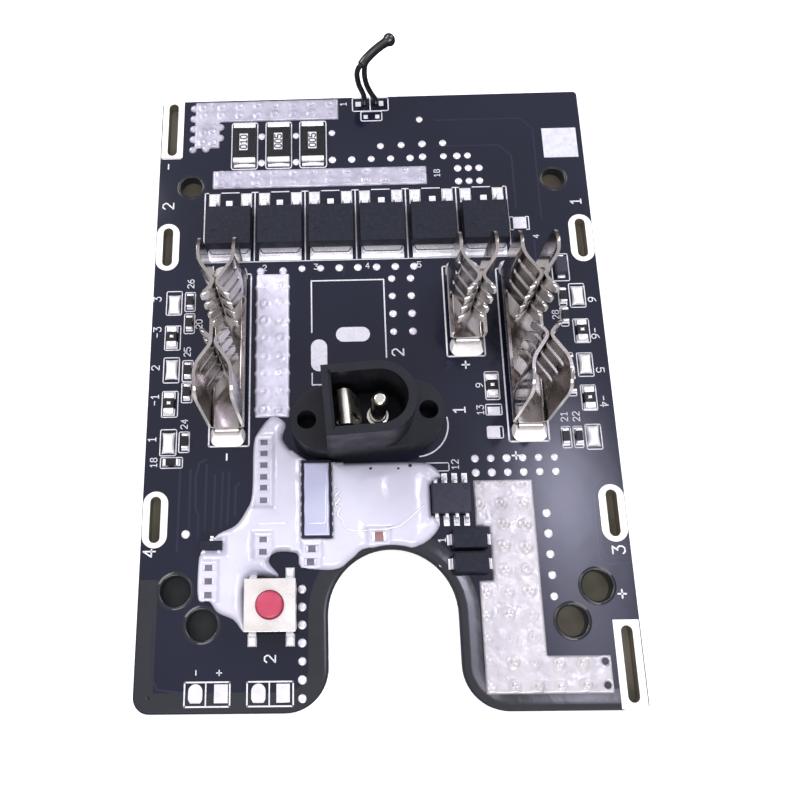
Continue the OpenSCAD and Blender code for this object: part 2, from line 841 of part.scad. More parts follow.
module switch_dome() {
    color([0.75, 0.74, 0.7]) switch_frame() translate([0, 0, pocket_z]) difference() {
        cylinder(d1 = dome_d, d2 = dome_d - 1.8, h = dome_h);
        translate([0, 0, -0.1]) cylinder(d1 = dome_d - 0.3, d2 = dome_d - 2.1, h = dome_h);
    }
}

module switch_cover() {
    color([0.82, 0.8, 0.76]) switch_frame() difference() {
        union() {
            translate([0, 0, switch_h - cover_t]) block(switch_w, switch_w, cover_t);
            for (s = [-1, 1]) translate([s * (switch_w - cover_t) / 2, 0, 0.9])
                block(cover_t, switch_w - 0.6, switch_h - 0.9);
        }
        translate([0, 0, switch_h - 1]) cylinder(d = button_d + 2 * button_clear, h = 2);
    }
}

module switch_button() {
    color([0.78, 0.3, 0.42]) switch_frame() {
        translate([0, 0, switch_h - cover_t - flange_t]) cylinder(d = flange_d, h = flange_t);
        translate([0, 0, switch_h - cover_t - 0.1])
            cylinder(d = button_d, h = cover_t + button_out - 0.05);
        translate([0, 0, switch_h + button_out - 0.15])
            cylinder(d1 = button_d, d2 = button_d - 0.3, h = 0.15);
    }
}

module switch_leg_shapes() {
    for (x = [-1, 1], y = [-1, 1]) scale([x, y, 1])
        translate([leg_x, switch_w / 2 - 0.6, pad_t]) gull_lead(leg_w, 0.7, leg_reach + 0.5, cover_t);
}

module switch_legs() {
    color([0.85, 0.84, 0.86]) switch_frame() switch_leg_shapes();
}

// ---------------------------------------------------------------- chips and diodes

// Rows of n leads on the two Y faces of a body l long
module lead_rows(l, n) {
    for (s = [-1, 1], i = [0 : n - 1]) scale([1, s, 1])
        translate([(i - (n - 1) / 2) * pin_pitch, l / 2 - 0.3, 0])
            gull_lead(pin_w, 0.6, pin_reach + 0.3, pin_t);
}

module controller_frame() {
    translate([controller_at.x, controller_at.y, seat]) rotate(90) children();
}

module controller_body() {
    color([0.1, 0.1, 0.12]) controller_frame() difference() {
        moulded(controller_size.y, controller_size.x, controller_size.z, 0.7, 0.12);
        lead_rows(controller_size.x, controller_pins);
    }
}

module controller_leads() {
    color([0.8, 0.8, 0.84]) controller_frame() lead_rows(controller_size.x, controller_pins);
}

module protector_body() {
    color([0.14, 0.14, 0.17]) translate([protector_at.x, protector_at.y, seat]) difference() {
        moulded(protector_size.x, protector_size.y, protector_size.z, 0.7, 0.12);
        lead_rows(protector_size.y, 4);
        translate([1.8, 1.3, protector_size.z - 0.08]) cylinder(d = 0.6, h = 1);
    }
}

module protector_leads() {
    color([0.85, 0.85, 0.9]) translate([protector_at.x, protector_at.y, seat])
        lead_rows(protector_size.y, 4);
}

module diode_lead_shapes() {
    for (s = [-1, 1]) scale([s, 1, 1]) rotate(-90)
        translate([0, diode_size.x / 2 - 0.5, 0]) gull_lead(1.3, 0.6, 1, 0.25);
}

module diode_body(i) {
    color([0.11, 0.11, 0.13]) translate([diode_at[i - 1].x, diode_at[i - 1].y, seat]) difference() {
        moulded(diode_size.x, diode_size.y, diode_size.z, 0.8, 0.15);
        diode_lead_shapes();
    }
}

module diode_leads() {
    color([0.82, 0.82, 0.86]) for (p = diode_at) translate([p.x, p.y, seat]) diode_lead_shapes();
}

module driver_lead_shapes() {
    for (x = [-0.95, 0.95]) translate([x, -0.35, 0]) mirror([0, 1, 0]) gull_lead(0.4, 0.45, 0.9, 0.15);
    translate([0, 0.35, 0]) gull_lead(0.4, 0.45, 0.9, 0.15);
}

module driver_body() {
    color([0.1, 0.1, 0.12]) translate([driver_at.x, driver_at.y, seat]) difference() {
        moulded(2.8, 1.25, 1.05, 0.5, 0.08);
        driver_lead_shapes();
    }
}

module driver_leads() {
    color([0.82, 0.82, 0.86]) translate([driver_at.x, driver_at.y, seat]) driver_lead_shapes();
}

module clamp_diode_body() {
    color([0.3, 0.3, 0.32]) translate([clamp_at.x, clamp_at.y, seat])
        moulded(1.6, 2.5, 1.05, 0.5, 0.06);
}

module clamp_diode_ends() {
    color([0.85, 0.85, 0.88]) for (s = [-1, 1])
        translate([clamp_at.x, clamp_at.y + s * 1.48, seat]) block(1, 0.46, 0.3);
}

// ---------------------------------------------------------------- balance and small parts

module place_at(list) {
    for (p = list) translate([p.x, p.y]) children();
}

// Chip resistors between the cell taps, and the links beside them
module balance_places() {
    place_at([for (y = [5.2, -4.2]) [left_link_x - 0.1, y]]) children();
    place_at([for (y = [5, -4.45]) [right_link_x, y]]) children();
    translate([charge_x + 2.95, -2.5]) children();
}

module link_places() {
    place_at([for (y = [10, 0.6, -9.55]) [left_link_x, y]]) children();
    place_at([for (y = [10.1, 0.3, -9.55]) [right_link_x, y]]) children();
}

// Small chips with their long axis along Y
module small_places() {
    place_at([for (y = [10.4, 7.2, 0.4, -2.65, -9.4]) [left_small_x, y]]) children();
    place_at([for (y = [10.06, 7.2, 0.4, -2.65]) [right_small_x, y]]) children();
    place_at([[right_small_x - 1.55, -9.6], [right_small_x + 0.15, -9.6]]) children();
    translate([left_link_x + 0.5, -12.15]) rotate(90) children();
}

module potted_places() {
    place_at([for (y = potted_y) [potted_x, y]]) rotate(90) children();
    place_at([for (y = potted_left_y) [potted_left_x, y]]) rotate(90) children();
    place_at(potted_loose) rotate(90) children();
}

module balance_resistors() {
    color([0.1, 0.1, 0.12]) translate([0, 0, seat]) balance_places()
        chip_block(balance_size.x, balance_size.y, balance_size.z, balance_end_l);
}

module balance_resistor_ends() {
    color([0.85, 0.84, 0.88]) translate([0, 0, seat]) balance_places()
        chip_ends(balance_size.x, balance_size.y, balance_size.z, balance_end_l);
}

module balance_links() {
    color([0.88, 0.87, 0.92]) translate([0, 0, top]) link_places()
        block(link_size.x, link_size.y, link_size.z);
}

module small_resistors() {
    color([0.1, 0.1, 0.12]) translate([0, 0, seat]) small_places()
        chip_block(chip_w, chip_l + 0.4, chip_h, chip_end_l);
}

module small_resistor_ends() {
    color([0.8, 0.8, 0.84]) translate([0, 0, seat]) small_places()
        chip_ends(chip_w, chip_l + 0.4, chip_h, chip_end_l);
}

module potted_resistors() {
    color([0.12, 0.12, 0.14]) translate([0, 0, top]) potted_places()
        chip_block(chip_w, chip_l, chip_h, chip_end_l);
}

module potted_resistor_ends() {
    color([0.7, 0.7, 0.75]) translate([0, 0, top]) potted_places()
        chip_ends(chip_w, chip_l, chip_h, chip_end_l);
}

module potted_capacitor() {
    color([0.6, 0.45, 0.42]) translate([potted_cap_at.x, potted_cap_at.y, top]) rotate(90)
        chip_block(potted_cap_size.y, potted_cap_size.x, potted_cap_size.z, 0.4);
}

module potted_capacitor_ends() {
    color([0.85, 0.82, 0.85]) translate([potted_cap_at.x, potted_cap_at.y, top]) rotate(90)
        chip_ends(potted_cap_size.y, potted_cap_size.x, potted_cap_size.z, 0.4);
}

// ---------------------------------------------------------------- potting

module potting() {
    color([0.88, 0.87, 0.92]) {
        difference() {
            translate([0, 0, top]) linear_extrude(potting_t) difference() {
                polygon(smooth(potting_outline, 4));
                translate([notch_x, -half_l + notch_depth - notch_w / 2]) circle(d = notch_w + 0.8);
                translate(jack_at) rotate(jack_turn) jack_footprint();
                translate(switch_at) square(switch_w + 0.1, center = true);
                translate(protector_at) square([protector_size.x, protector_size.y], center = true);
            }
            translate([controller_at.x, controller_at.y, top])
                block(controller_size.x, controller_size.y, 4);
            translate([driver_at.x, driver_at.y, top]) block(2.8, 1.25, 4);
            controller_leads();
            protector_leads();
            driver_leads();
            switch_legs();
            translate([0, 0, top - 1]) potted_places() block(chip_w, chip_l, 4);
            translate([potted_cap_at.x, potted_cap_at.y, top - 1])
                block(potted_cap_size.x, potted_cap_size.y, 4);
            solder_pads();
            via_caps();
            strip_left();
        }
        translate([controller_at.x, controller_at.y, seat + controller_size.z])
            linear_extrude(film_t) round_rect(controller_size.x - film_margin,
                controller_size.y - film_margin, 0.5);
    }
}

// ---------------------------------------------------------------- temperature sensor

sensor_end = [2.8, half_l + 3.9, top + sensor_h];
sleeve_start = [0.1, half_l + 1, top + sensor_h - 0.4];

module sensor_leads() {
    color([0.08, 0.08, 0.09]) {
        wire([[-0.65, half_l - 1.5, top + 0.155], [-1.5, half_l + 0.4, top + 3.6],
            [-1.3, half_l + 0.8, top + 5.6], sleeve_start + [-0.35, 0.1, 0]], lead_d);
        wire([[0.9, half_l - 1.2, top + 0.145], [-0.1, half_l + 0.4, top + 3.6],
            [0, half_l + 0.7, top + 5.6], sleeve_start + [0.3, -0.1, 0]], lead_d);
    }
}

module sensor_bead() {
    color([0.06, 0.06, 0.07]) {
        difference() {
            union() {
                wire([sleeve_start, sensor_end], 1.5);
                translate(sleeve_start) sphere(d = 1.6);
            }
            sensor_leads();
        }
        translate(sensor_end) sphere(d = bead_d);
    }
}

// ---------------------------------------------------------------- output

board();
slot_lands();
solder_pads();
via_caps();
strip_back_corner();
strip_shunts();
strip_left();
strip_output();
transistor_body(1);  // transistor_body_1
transistor_body(2);  // transistor_body_2
transistor_body(3);  // transistor_body_3
transistor_body(4);  // transistor_body_4
transistor_body(5);  // transistor_body_5
transistor_body(6);  // transistor_body_6
transistor_leads(1);  // transistor_leads_1
transistor_leads(2);  // transistor_leads_2
transistor_leads(3);  // transistor_leads_3
transistor_leads(4);  // transistor_leads_4
transistor_leads(5);  // transistor_leads_5
transistor_leads(6);  // transistor_leads_6
shunt_body(1);  // shunt_body_1
shunt_body(2);  // shunt_body_2
shunt_body(3);  // shunt_body_3
shunt_ends();
terminal_minus();
terminal_plus();
terminal_charge();
terminal_solder();
jack_housing();
jack_pin();
jack_contact();
switch_base();
switch_dome();
switch_cover();
switch_button();
switch_legs();
controller_body();
controller_leads();
protector_body();
protector_leads();
diode_body(1);  // diode_body_1
diode_body(2);  // diode_body_2
diode_leads();
driver_body();
driver_leads();
clamp_diode_body();
clamp_diode_ends();
balance_resistors();
balance_resistor_ends();
balance_links();
small_resistors();
small_resistor_ends();
potted_resistors();
potted_resistor_ends();
potted_capacitor();
potted_capacitor_ends();
potting();
sensor_bead();
sensor_leads();
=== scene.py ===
"""Battery management board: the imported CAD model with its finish, solder and print, in a studio."""

import math
import random

import bpy
import bmesh
import numpy as np
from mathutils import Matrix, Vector, noise


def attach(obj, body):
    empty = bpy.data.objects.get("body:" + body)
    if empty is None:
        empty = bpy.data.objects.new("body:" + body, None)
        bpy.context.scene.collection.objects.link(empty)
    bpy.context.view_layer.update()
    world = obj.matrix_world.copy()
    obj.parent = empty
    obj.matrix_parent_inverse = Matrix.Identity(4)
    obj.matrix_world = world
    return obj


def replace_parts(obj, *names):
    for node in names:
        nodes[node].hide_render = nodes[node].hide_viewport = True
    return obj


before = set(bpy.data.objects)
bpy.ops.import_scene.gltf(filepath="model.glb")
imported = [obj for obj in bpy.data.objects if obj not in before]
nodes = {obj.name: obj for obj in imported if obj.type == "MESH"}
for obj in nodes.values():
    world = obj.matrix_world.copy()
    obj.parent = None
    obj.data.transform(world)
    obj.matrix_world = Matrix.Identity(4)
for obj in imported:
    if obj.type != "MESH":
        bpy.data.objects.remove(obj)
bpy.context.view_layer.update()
random.seed(7)

# Sizes are in millimetres, and heights start at the underside of the board.
MM = 0.001
TOP = 1.6
BODY = "circuit_board"
HALF_L = 42.7
NOTCH = (1.0, -31.55, 8.05)
JACK = (-1.64, -7.48, math.radians(4))
SEAT = 0.12
TAB_TOP = TOP + SEAT + 0.5
SHUNT_TOP = TOP + SEAT + 0.76
CONTROLLER_TOP = TOP + SEAT + 1.45
TRANSISTOR_Y = 20.95
TRANSISTORS = [-2.3 + (i - 3.5) * 7.12 for i in range(1, 7)]
SHUNT_Y = 35
SHUNTS = (-18.2, -13.25, -8.3)


# ---- materials
def lin(r, g, b):
    out = []
    for v in (r, g, b):
        v /= 255
        out.append(v / 12.92 if v <= 0.04045 else ((v + 0.055) / 1.055) ** 2.4)
    return (*out, 1.0)


class Mat:
    """A Principled material with its node tree at hand."""

    def __init__(self, name, base, rough=0.5, metal=0.0, **sockets):
        self.m = bpy.data.materials.new(name)
        self.m.use_nodes = True
        self.nt = self.m.node_tree
        self.p = self.nt.nodes["Principled BSDF"]
        self.p.inputs["Base Color"].default_value = base
        self.p.inputs["Roughness"].default_value = rough
        self.p.inputs["Metallic"].default_value = metal
        for k, v in sockets.items():
            self.p.inputs[k.replace("_", " ")].default_value = v
        self.base, self.heights = base, []
        self.co = self.add("ShaderNodeTexCoord").outputs["Object"]

    def add(self, kind, **props):
        n = self.nt.nodes.new(kind)
        for k, v in props.items():
            setattr(n, k, v)
        return n

    def link(self, a, b):
        self.nt.links.new(a, b)

    def noise(self, scale, detail=3.0, rough=0.55, stretch=None, dist=0.0):
        n = self.add("ShaderNodeTexNoise")
        n.inputs["Scale"].default_value = scale
        n.inputs["Detail"].default_value = detail
        n.inputs["Roughness"].default_value = rough
        n.inputs["Distortion"].default_value = dist
        co = self.co
        if stretch:
            s = self.add("ShaderNodeMapping")
            s.inputs["Scale"].default_value = stretch
            self.link(self.co, s.inputs["Vector"])
            co = s.outputs["Vector"]
        self.link(co, n.inputs["Vector"])
        return n.outputs["Fac"]

    def ramp(self, fac, stops):
        r = self.add("ShaderNodeValToRGB")
        while len(r.color_ramp.elements) < len(stops):
            r.color_ramp.elements.new(0.5)
        for e, (pos, col) in zip(r.color_ramp.elements, stops):
            e.position, e.color = pos, col
        self.link(fac, r.inputs["Fac"])
        return r.outputs["Color"]

    def span(self, value, lo, hi, a=0.0, b=1.0):
        """Runs from a to b while the value runs from lo to hi."""
        r = self.add("ShaderNodeMapRange")
        for k, v in (("From Min", lo), ("From Max", hi), ("To Min", a), ("To Max", b)):
            r.inputs[k].default_value = v
        self.link(value, r.inputs["Value"])
        return r.outputs["Result"]

    def facing(self, normal, axis, lo, hi):
        """How squarely a face looks along an axis, either way."""
        parts = self.add("ShaderNodeSeparateXYZ")
        self.link(self.add("ShaderNodeNewGeometry").outputs[normal], parts.inputs["Vector"])
        size = self.add("ShaderNodeMath", operation="ABSOLUTE")
        self.link(parts.outputs[axis], size.inputs[0])
        return self.span(size.outputs[0], lo, hi)

    def blend(self, factor, a=None, b=None, **props):
        """Mixes the base colour from a to b; the one left out is the colour so far."""
        mix = self.add("ShaderNodeMix", data_type="RGBA", **props)
        base = self.p.inputs["Base Color"]
        so_far = base.links[0].from_socket
        a, b = (so_far if v is None else v for v in (a, b))
        for k, v in (("Factor", factor), ("A", a), ("B", b)):
            if isinstance(v, bpy.types.NodeSocket):
                self.link(v, mix.inputs[k])
            else:
                mix.inputs[k].default_value = v
        self.link(mix.outputs["Result"], base)

    def vary(self, scale, other, lo=0.35, hi=0.7, **kw):
        """Colour runs from the base to another colour in noise patches."""
        colour = self.ramp(self.noise(scale, **kw), [(lo, self.base), (hi, other)])
        self.link(colour, self.p.inputs["Base Color"])
        return self

    def rough_vary(self, scale, a, b, **kw):
        self.link(self.span(self.noise(scale, **kw), 0.35, 0.68, a, b), self.p.inputs["Roughness"])
        return self

    def bump(self, scale, depth_mm, coat=False, **kw):
        """Height noise, depth in millimetres; several are chained."""
        b = self.add("ShaderNodeBump")
        b.inputs["Strength"].default_value = 1.0
        b.inputs["Distance"].default_value = depth_mm * MM
        self.link(self.noise(scale, **kw), b.inputs["Height"])
        if self.heights:
            self.link(self.heights[-1].outputs["Normal"], b.inputs["Normal"])
        self.heights.append(b)
        self.link(b.outputs["Normal"], self.p.inputs["Normal"])
        if coat:
            self.link(b.outputs["Normal"], self.p.inputs["Coat Normal"])
        return self


def cut_faces(mat, low, high):
    """Bare laminate wherever the face stands upright, as on a routed edge or a drilled hole."""
    fibre = mat.ramp(mat.noise(420, stretch=(1, 1, 9)), [(0.35, low), (0.7, high)])
    mat.blend(mat.facing("True Normal", "Z", 0.3, 0.6), a=fibre)


def painted_gap_shade(mat, reach_mm, darkest):
    """Painted shade: darkens the metal's colour in narrow gaps, where it mirrors only its neighbours."""
    shade = mat.add("ShaderNodeAmbientOcclusion", samples=6)
    shade.inputs["Distance"].default_value = reach_mm * MM
    mat.blend(1.0, b=mat.span(shade.outputs["AO"], 0.25, 0.85, darkest, 1.0), blend_type="MULTIPLY")


def cut_edges_and_sheen(mat, cut_and_sheen):
    """Duller and brighter metal on the faces that look along the board: bare cut edges, with a painted
    highlight on those sides as well.
    """
    step = mat.facing("Normal", "Y", 0.45, 0.85)
    mat.blend(step, b=cut_and_sheen)
    mat.link(mat.span(step, 0.0, 1.0, 1.0, 0.45), mat.p.inputs["Metallic"])


COAT = {"Coat_Weight": 0.62, "Coat_Roughness": 0.1, "Specular_IOR_Level": 0.06}
MASK = Mat("mask", lin(14, 17, 37), 0.5, **COAT)
MASK.vary(55, lin(20, 22, 44), detail=2).bump(160, 0.016, coat=True, detail=2).bump(1500, 0.0025)
cut_faces(MASK, lin(50, 51, 47), lin(62, 63, 58))
TRACE = Mat("mask_over_copper", lin(33, 36, 55), 0.5, **COAT)
TRACE.vary(120, lin(26, 29, 48)).bump(900, 0.003)
LACQUER = Mat("lacquer_rim", lin(24, 26, 33), 0.4, Coat_Weight=0.9, Coat_Roughness=0.06,
              Specular_IOR_Level=0.1)
LACQUER.vary(200, lin(31, 33, 37)).bump(300, 0.02, coat=True)
BARE = Mat("bare_laminate", lin(112, 102, 90), 0.6)
BARE.vary(300, lin(84, 82, 62), stretch=(1, 0.4, 1)).bump(1500, 0.03, stretch=(1, 1, 0.1))
SILK = Mat("silk_ink", lin(226, 226, 232), 0.55)
SILK.vary(2500, lin(196, 196, 206), lo=0.45, hi=0.75).bump(4000, 0.004)
SOLDER = Mat("solder", lin(225, 222, 239), 0.34, 0.3)
SOLDER.vary(700, lin(200, 197, 215), lo=0.4, hi=0.75)
HOT_SOLDER = Mat("output_solder", lin(198, 194, 198), 0.3, 0.3)
HOT_SOLDER.vary(420, lin(172, 167, 175), lo=0.42, hi=0.8, stretch=(1, 0.3, 1))
REAR_SOLDER = Mat("rear_solder", lin(186, 183, 198), 0.34, 0.3)
REAR_SOLDER.vary(520, lin(160, 157, 174), lo=0.4, hi=0.75)
for mat, low, high in ((SOLDER, 0.24, 0.5), (HOT_SOLDER, 0.2, 0.45), (REAR_SOLDER, 0.24, 0.5)):
    mat.rough_vary(500, low, high).bump(900, 0.02).bump(3000, 0.004)
SOLDER_FLAT = Mat("solder_flat", lin(240, 238, 246), 0.26, 0.35)
SOLDER_FLAT.vary(900, lin(212, 209, 222)).rough_vary(900, 0.18, 0.4).bump(1600, 0.012)
STAMPED = Mat("stamped_strip", lin(180, 173, 170), 0.16, 1.0)
STAMPED.vary(180, lin(148, 138, 134), lo=0.4, hi=0.8, stretch=(1, 1, 0.35))
STAMPED.rough_vary(300, 0.1, 0.24).bump(2400, 0.004, stretch=(1, 1, 0.12))
# painted shade in the gaps between the terminal fingers
painted_gap_shade(STAMPED, 2.6, 0.08)
# painted highlight on the terminal faces that look along the board, besides their bare cut edges
cut_edges_and_sheen(STAMPED, lin(232, 229, 225))
FOOTING = Mat("terminal_solder", lin(244, 240, 240), 0.3, 0.3)
FOOTING.vary(500, lin(222, 216, 216), lo=0.42, hi=0.8).bump(1200, 0.01)
# painted shade in the hollows of the solder round the terminal feet
painted_gap_shade(FOOTING, 5.0, 0.12)
NICKEL = Mat("nickel", lin(236, 232, 228), 0.3, 0.6)
NICKEL.vary(260, lin(216, 210, 204), lo=0.42, hi=0.75).rough_vary(500, 0.24, 0.4).bump(700, 0.008)
BRIGHT = Mat("bright_spring", lin(220, 216, 205), 0.16, 1.0)
BRIGHT.rough_vary(900, 0.1, 0.26).bump(2600, 0.003, stretch=(1, 0.15, 1))
NYLON = Mat("black_nylon", lin(24, 25, 32), 0.42, Specular_IOR_Level=0.24)
NYLON.vary(260, lin(29, 30, 38)).rough_vary(350, 0.34, 0.52).bump(3500, 0.006).bump(300, 0.015)
EPOXY = Mat("chip_epoxy", lin(27, 30, 42), 0.5, Specular_IOR_Level=0.2)
EPOXY.vary(1800, lin(37, 39, 51), lo=0.45, hi=0.7).rough_vary(700, 0.4, 0.6).bump(7000, 0.006)
GREY_CHIP = Mat("grey_chip", lin(56, 57, 71), 0.5, Specular_IOR_Level=0.25)
GREY_CHIP.vary(1500, lin(49, 50, 63)).bump(6000, 0.006)
GLAZE = Mat("resistor_glaze", lin(21, 20, 23), 0.3, Specular_IOR_Level=0.3)
GLAZE.vary(1500, lin(31, 30, 34)).bump(3000, 0.006)
LEAD = Mat("tinned_lead", lin(248, 247, 251), 0.24, 0.45)
LEAD.vary(420, lin(226, 224, 234), lo=0.42, hi=0.8).rough_vary(900, 0.18, 0.32).bump(1200, 0.003)
WET = Mat("wet_solder", lin(250, 249, 253), 0.2, 0.3)
WET.vary(800, lin(230, 228, 238), lo=0.45, hi=0.8).bump(1500, 0.008)
LAND = Mat("tinned_land", lin(250, 248, 246), 0.34, 0.15)
LAND.vary(500, lin(238, 235, 234)).bump(1500, 0.004)
SPRING = Mat("spring_sheet", lin(226, 222, 212), 0.34, 0.95)
SPRING.rough_vary(700, 0.26, 0.42).bump(2400, 0.003, stretch=(1, 0.15, 1))
VEILED = Mat("veiled_chip", lin(92, 91, 106), 0.3)
VEILED.vary(900, lin(120, 118, 134)).bump(1500, 0.01)
# dark colour of the painted shade lines on the tabs and shunts, also used for the small dark specks on the
# silicone
SHADE_AND_SPECKS = Mat("painted_shade_and_specks", lin(20, 19, 22), 0.45)
SHADE_AND_SPECKS.vary(1500, lin(40, 38, 42)).bump(2500, 0.006)
MARK = Mat("resistor_mark", lin(222, 222, 228), 0.5)
MARK.vary(1800, lin(204, 204, 212)).bump(3000, 0.004)
PRINT = Mat("mark_digits", lin(26, 25, 28), 0.5)
PRINT.vary(2500, lin(48, 47, 52)).bump(4000, 0.003)
ROSE = Mat("rose_moulding", lin(190, 62, 92), 0.38, Coat_Weight=0.25, Coat_Roughness=0.3)
ROSE.vary(700, lin(178, 54, 84)).bump(2600, 0.008)
GEL = Mat("silicone_gel", lin(213, 212, 228), 0.16, Coat_Weight=0.7, Coat_Roughness=0.04)
GEL.p.inputs["Subsurface Weight"].default_value = 0.25
GEL.p.inputs["Subsurface Radius"].default_value = (0.8 * MM, 0.8 * MM, 1.0 * MM)
GEL.p.inputs["Subsurface Scale"].default_value = 1.0
GEL.vary(170, lin(206, 204, 221), detail=2).bump(330, 0.05, coat=True, detail=1)
FILM = Mat("silicone_film", lin(176, 178, 206), 0.14, Coat_Weight=0.7, Coat_Roughness=0.03)
FILM.vary(110, lin(204, 205, 228), stretch=(0.3, 1, 1)).bump(260, 0.02, coat=True, detail=1)
CERAMIC = Mat("brown_ceramic", lin(150, 112, 108), 0.5)
CERAMIC.vary(1500, lin(128, 92, 92)).bump(4000, 0.006)
BEAD = Mat("bead_epoxy", lin(20, 20, 22), 0.22, Coat_Weight=0.5, Coat_Roughness=0.1)
BEAD.vary(900, lin(30, 30, 33)).bump(900, 0.02)
SLEEVE = Mat("lead_sleeve", lin(17, 17, 19), 0.3)
SLEEVE.vary(900, lin(27, 27, 30)).bump(1200, 0.015)
PLASTIC_WHITE = Mat("white_ink_block", lin(214, 214, 222), 0.5)
PLASTIC_WHITE.vary(1600, lin(194, 194, 204)).bump(3000, 0.006)


def paint(o, mat):
    o.data.materials.clear()
    o.data.materials.append(mat.m)


def edges(o, width_mm):
    """Welds the CAD mesh, rounds its sharp edges a little and smooths its curves."""
    w = o.modifiers.new("weld", "WELD")
    w.merge_threshold = 1e-7
    d = o.modifiers.new("flat", "DECIMATE")
    d.decimate_type, d.angle_limit = "DISSOLVE", math.radians(0.8)
    b = o.modifiers.new("edge", "BEVEL")
    b.width, b.segments, b.limit_method = width_mm * MM, 2, "ANGLE"
    b.angle_limit = math.radians(35)
    b.use_clamp_overlap = True
    n = o.modifiers.new("shade", "WEIGHTED_NORMAL")
    n.mode, n.weight = "FACE_AREA_WITH_ANGLE", 90
    for p in o.data.polygons:
        p.use_smooth = True


FINISH = [
    ("board", MASK, 0.1), ("slot_lands", LAND, 0), ("solder_pads", WET, 0),
    ("jack_housing", NYLON, 0.12), ("jack_pin", BRIGHT, 0.12), ("jack_contact", SPRING, 0.03),
    ("switch_base", NYLON, 0.05), ("switch_dome", NICKEL, 0), ("switch_cover", NICKEL, 0.08),
    ("switch_button", ROSE, 0.08), ("switch_legs", LEAD, 0.04),
    ("controller_body", EPOXY, 0.05), ("controller_leads", LEAD, 0.02),
    ("protector_body", GREY_CHIP, 0.05), ("protector_leads", LEAD, 0.03),
    ("diode_leads", LEAD, 0.03), ("driver_body", EPOXY, 0.04), ("driver_leads", LEAD, 0.02),
    ("clamp_diode_body", GREY_CHIP, 0.05), ("clamp_diode_ends", LEAD, 0.05),
    ("balance_resistors", GLAZE, 0.05), ("balance_resistor_ends", LEAD, 0.12),
    ("balance_links", SOLDER, 0.14), ("small_resistors", GLAZE, 0.04), ("small_resistor_ends", LEAD, 0.08),
    ("potted_resistors", VEILED, 0.04), ("potted_resistor_ends", SOLDER, 0.06),
    ("potted_capacitor", CERAMIC, 0.05), ("potted_capacitor_ends", LEAD, 0.08),
    ("shunt_ends", LEAD, 0.12), ("terminal_solder", FOOTING, 0.25),
    ("terminal_minus", STAMPED, 0.07), ("terminal_plus", STAMPED, 0.07), ("terminal_charge", STAMPED, 0.07),
]
FINISH += [(f"transistor_body_{i}", EPOXY, 0.12) for i in range(1, 7)]
FINISH += [(f"transistor_leads_{i}", LEAD, 0.05) for i in range(1, 7)]
FINISH += [(f"shunt_body_{i}", GLAZE, 0.06) for i in range(1, 4)]
FINISH += [(f"diode_body_{i}", EPOXY, 0.08) for i in range(1, 3)]
for name, mat, edge in FINISH:
    paint(nodes[name], mat)
    if edge:
        edges(nodes[name], edge)


# ---- mesh helpers
def mesh_object(name, verts, faces, mat, smooth):
    """A mesh from millimetre vertices, put in the scene."""
    me = bpy.data.meshes.new(name)
    me.from_pydata([tuple(c * MM for c in v) for v in verts], [], faces)
    me.update()
    if smooth:
        me.shade_smooth()
    o = bpy.data.objects.new(name, me)
    bpy.context.scene.collection.objects.link(o)
    me.materials.append(mat.m)
    return o


def piece(name, verts, faces, mat, slot, smooth=True):
    """A piece that rides on the board."""
    o = mesh_object(name, verts, faces, mat, smooth)
    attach(o, BODY)
    return o


def rect(x0, y0, x1, y1):
    return (x0, y0), (x1, y0), (x1, y1), (x0, y1)


def rounded(x0, y0, x1, y1, r, n):
    """Rectangle with round corners of n steps each."""
    pts = []
    for k, (cx, cy) in enumerate(rect(x1 - r, y1 - r, x0 + r, y0 + r)):
        for i in range(n + 1):
            a = math.radians(90 * k + 90 * i / n)
            pts.append((cx + r * math.cos(a), cy + r * math.sin(a)))
    return pts


def bands(start, rows, n):
    """Faces between rows of n points, each row a closed ring."""
    faces = []
    for k in range(rows - 1):
        for i in range(n):
            a, b = start + k * n + i, start + k * n + (i + 1) % n
            faces.append((a, b, b + n, a + n))
    return faces


class Flat:
    """Printed or etched lines and patches lying on the board, gathered in one mesh."""

    DOT_LIFT = 0.0004

    def __init__(self, z=TOP + 0.02):
        self.v, self.f, self.z = [], [], z

    def poly(self, pts, lift=0.0):
        n = len(self.v)
        self.v += [(x, y, self.z + lift) for x, y in pts]
        self.f.append(tuple(range(n, n + len(pts))))

    def dot(self, x, y, r, n=8):
        steps = [2 * math.pi * i / n for i in range(n)]
        self.poly([(x + r * math.cos(a), y + r * math.sin(a)) for a in steps], self.DOT_LIFT)

    def line(self, pts, w=0.2, closed=False):
        """A stroke of width w with round ends and corners."""
        pts = list(pts) + ([pts[0]] if closed else [])
        for (x0, y0), (x1, y1) in zip(pts, pts[1:]):
            d = math.hypot(x1 - x0, y1 - y0)
            if d < 1e-6:
                continue
            nx, ny = -(y1 - y0) / d * w / 2, (x1 - x0) / d * w / 2
            self.poly([(x0 + nx, y0 + ny), (x0 - nx, y0 - ny), (x1 - nx, y1 - ny), (x1 + nx, y1 + ny)])
        for x, y in pts:
            self.dot(x, y, w / 2)

    def box(self, x0, y0, x1, y1, w=0.2, r=0.22):
        """An outline with rounded corners."""
        self.line(rounded(x0, y0, x1, y1, r, 3), w, closed=True)

    def arc(self, cx, cy, r, a0, a1, w=0.2, n=24):
        steps = [math.radians(a0 + (a1 - a0) * i / n) for i in range(n + 1)]
        self.line([(cx + r * math.cos(a), cy + r * math.sin(a)) for a in steps], w)

    def lay(self, name, mat, slot):
        return piece(name, self.v, self.f, mat, slot, smooth=False)


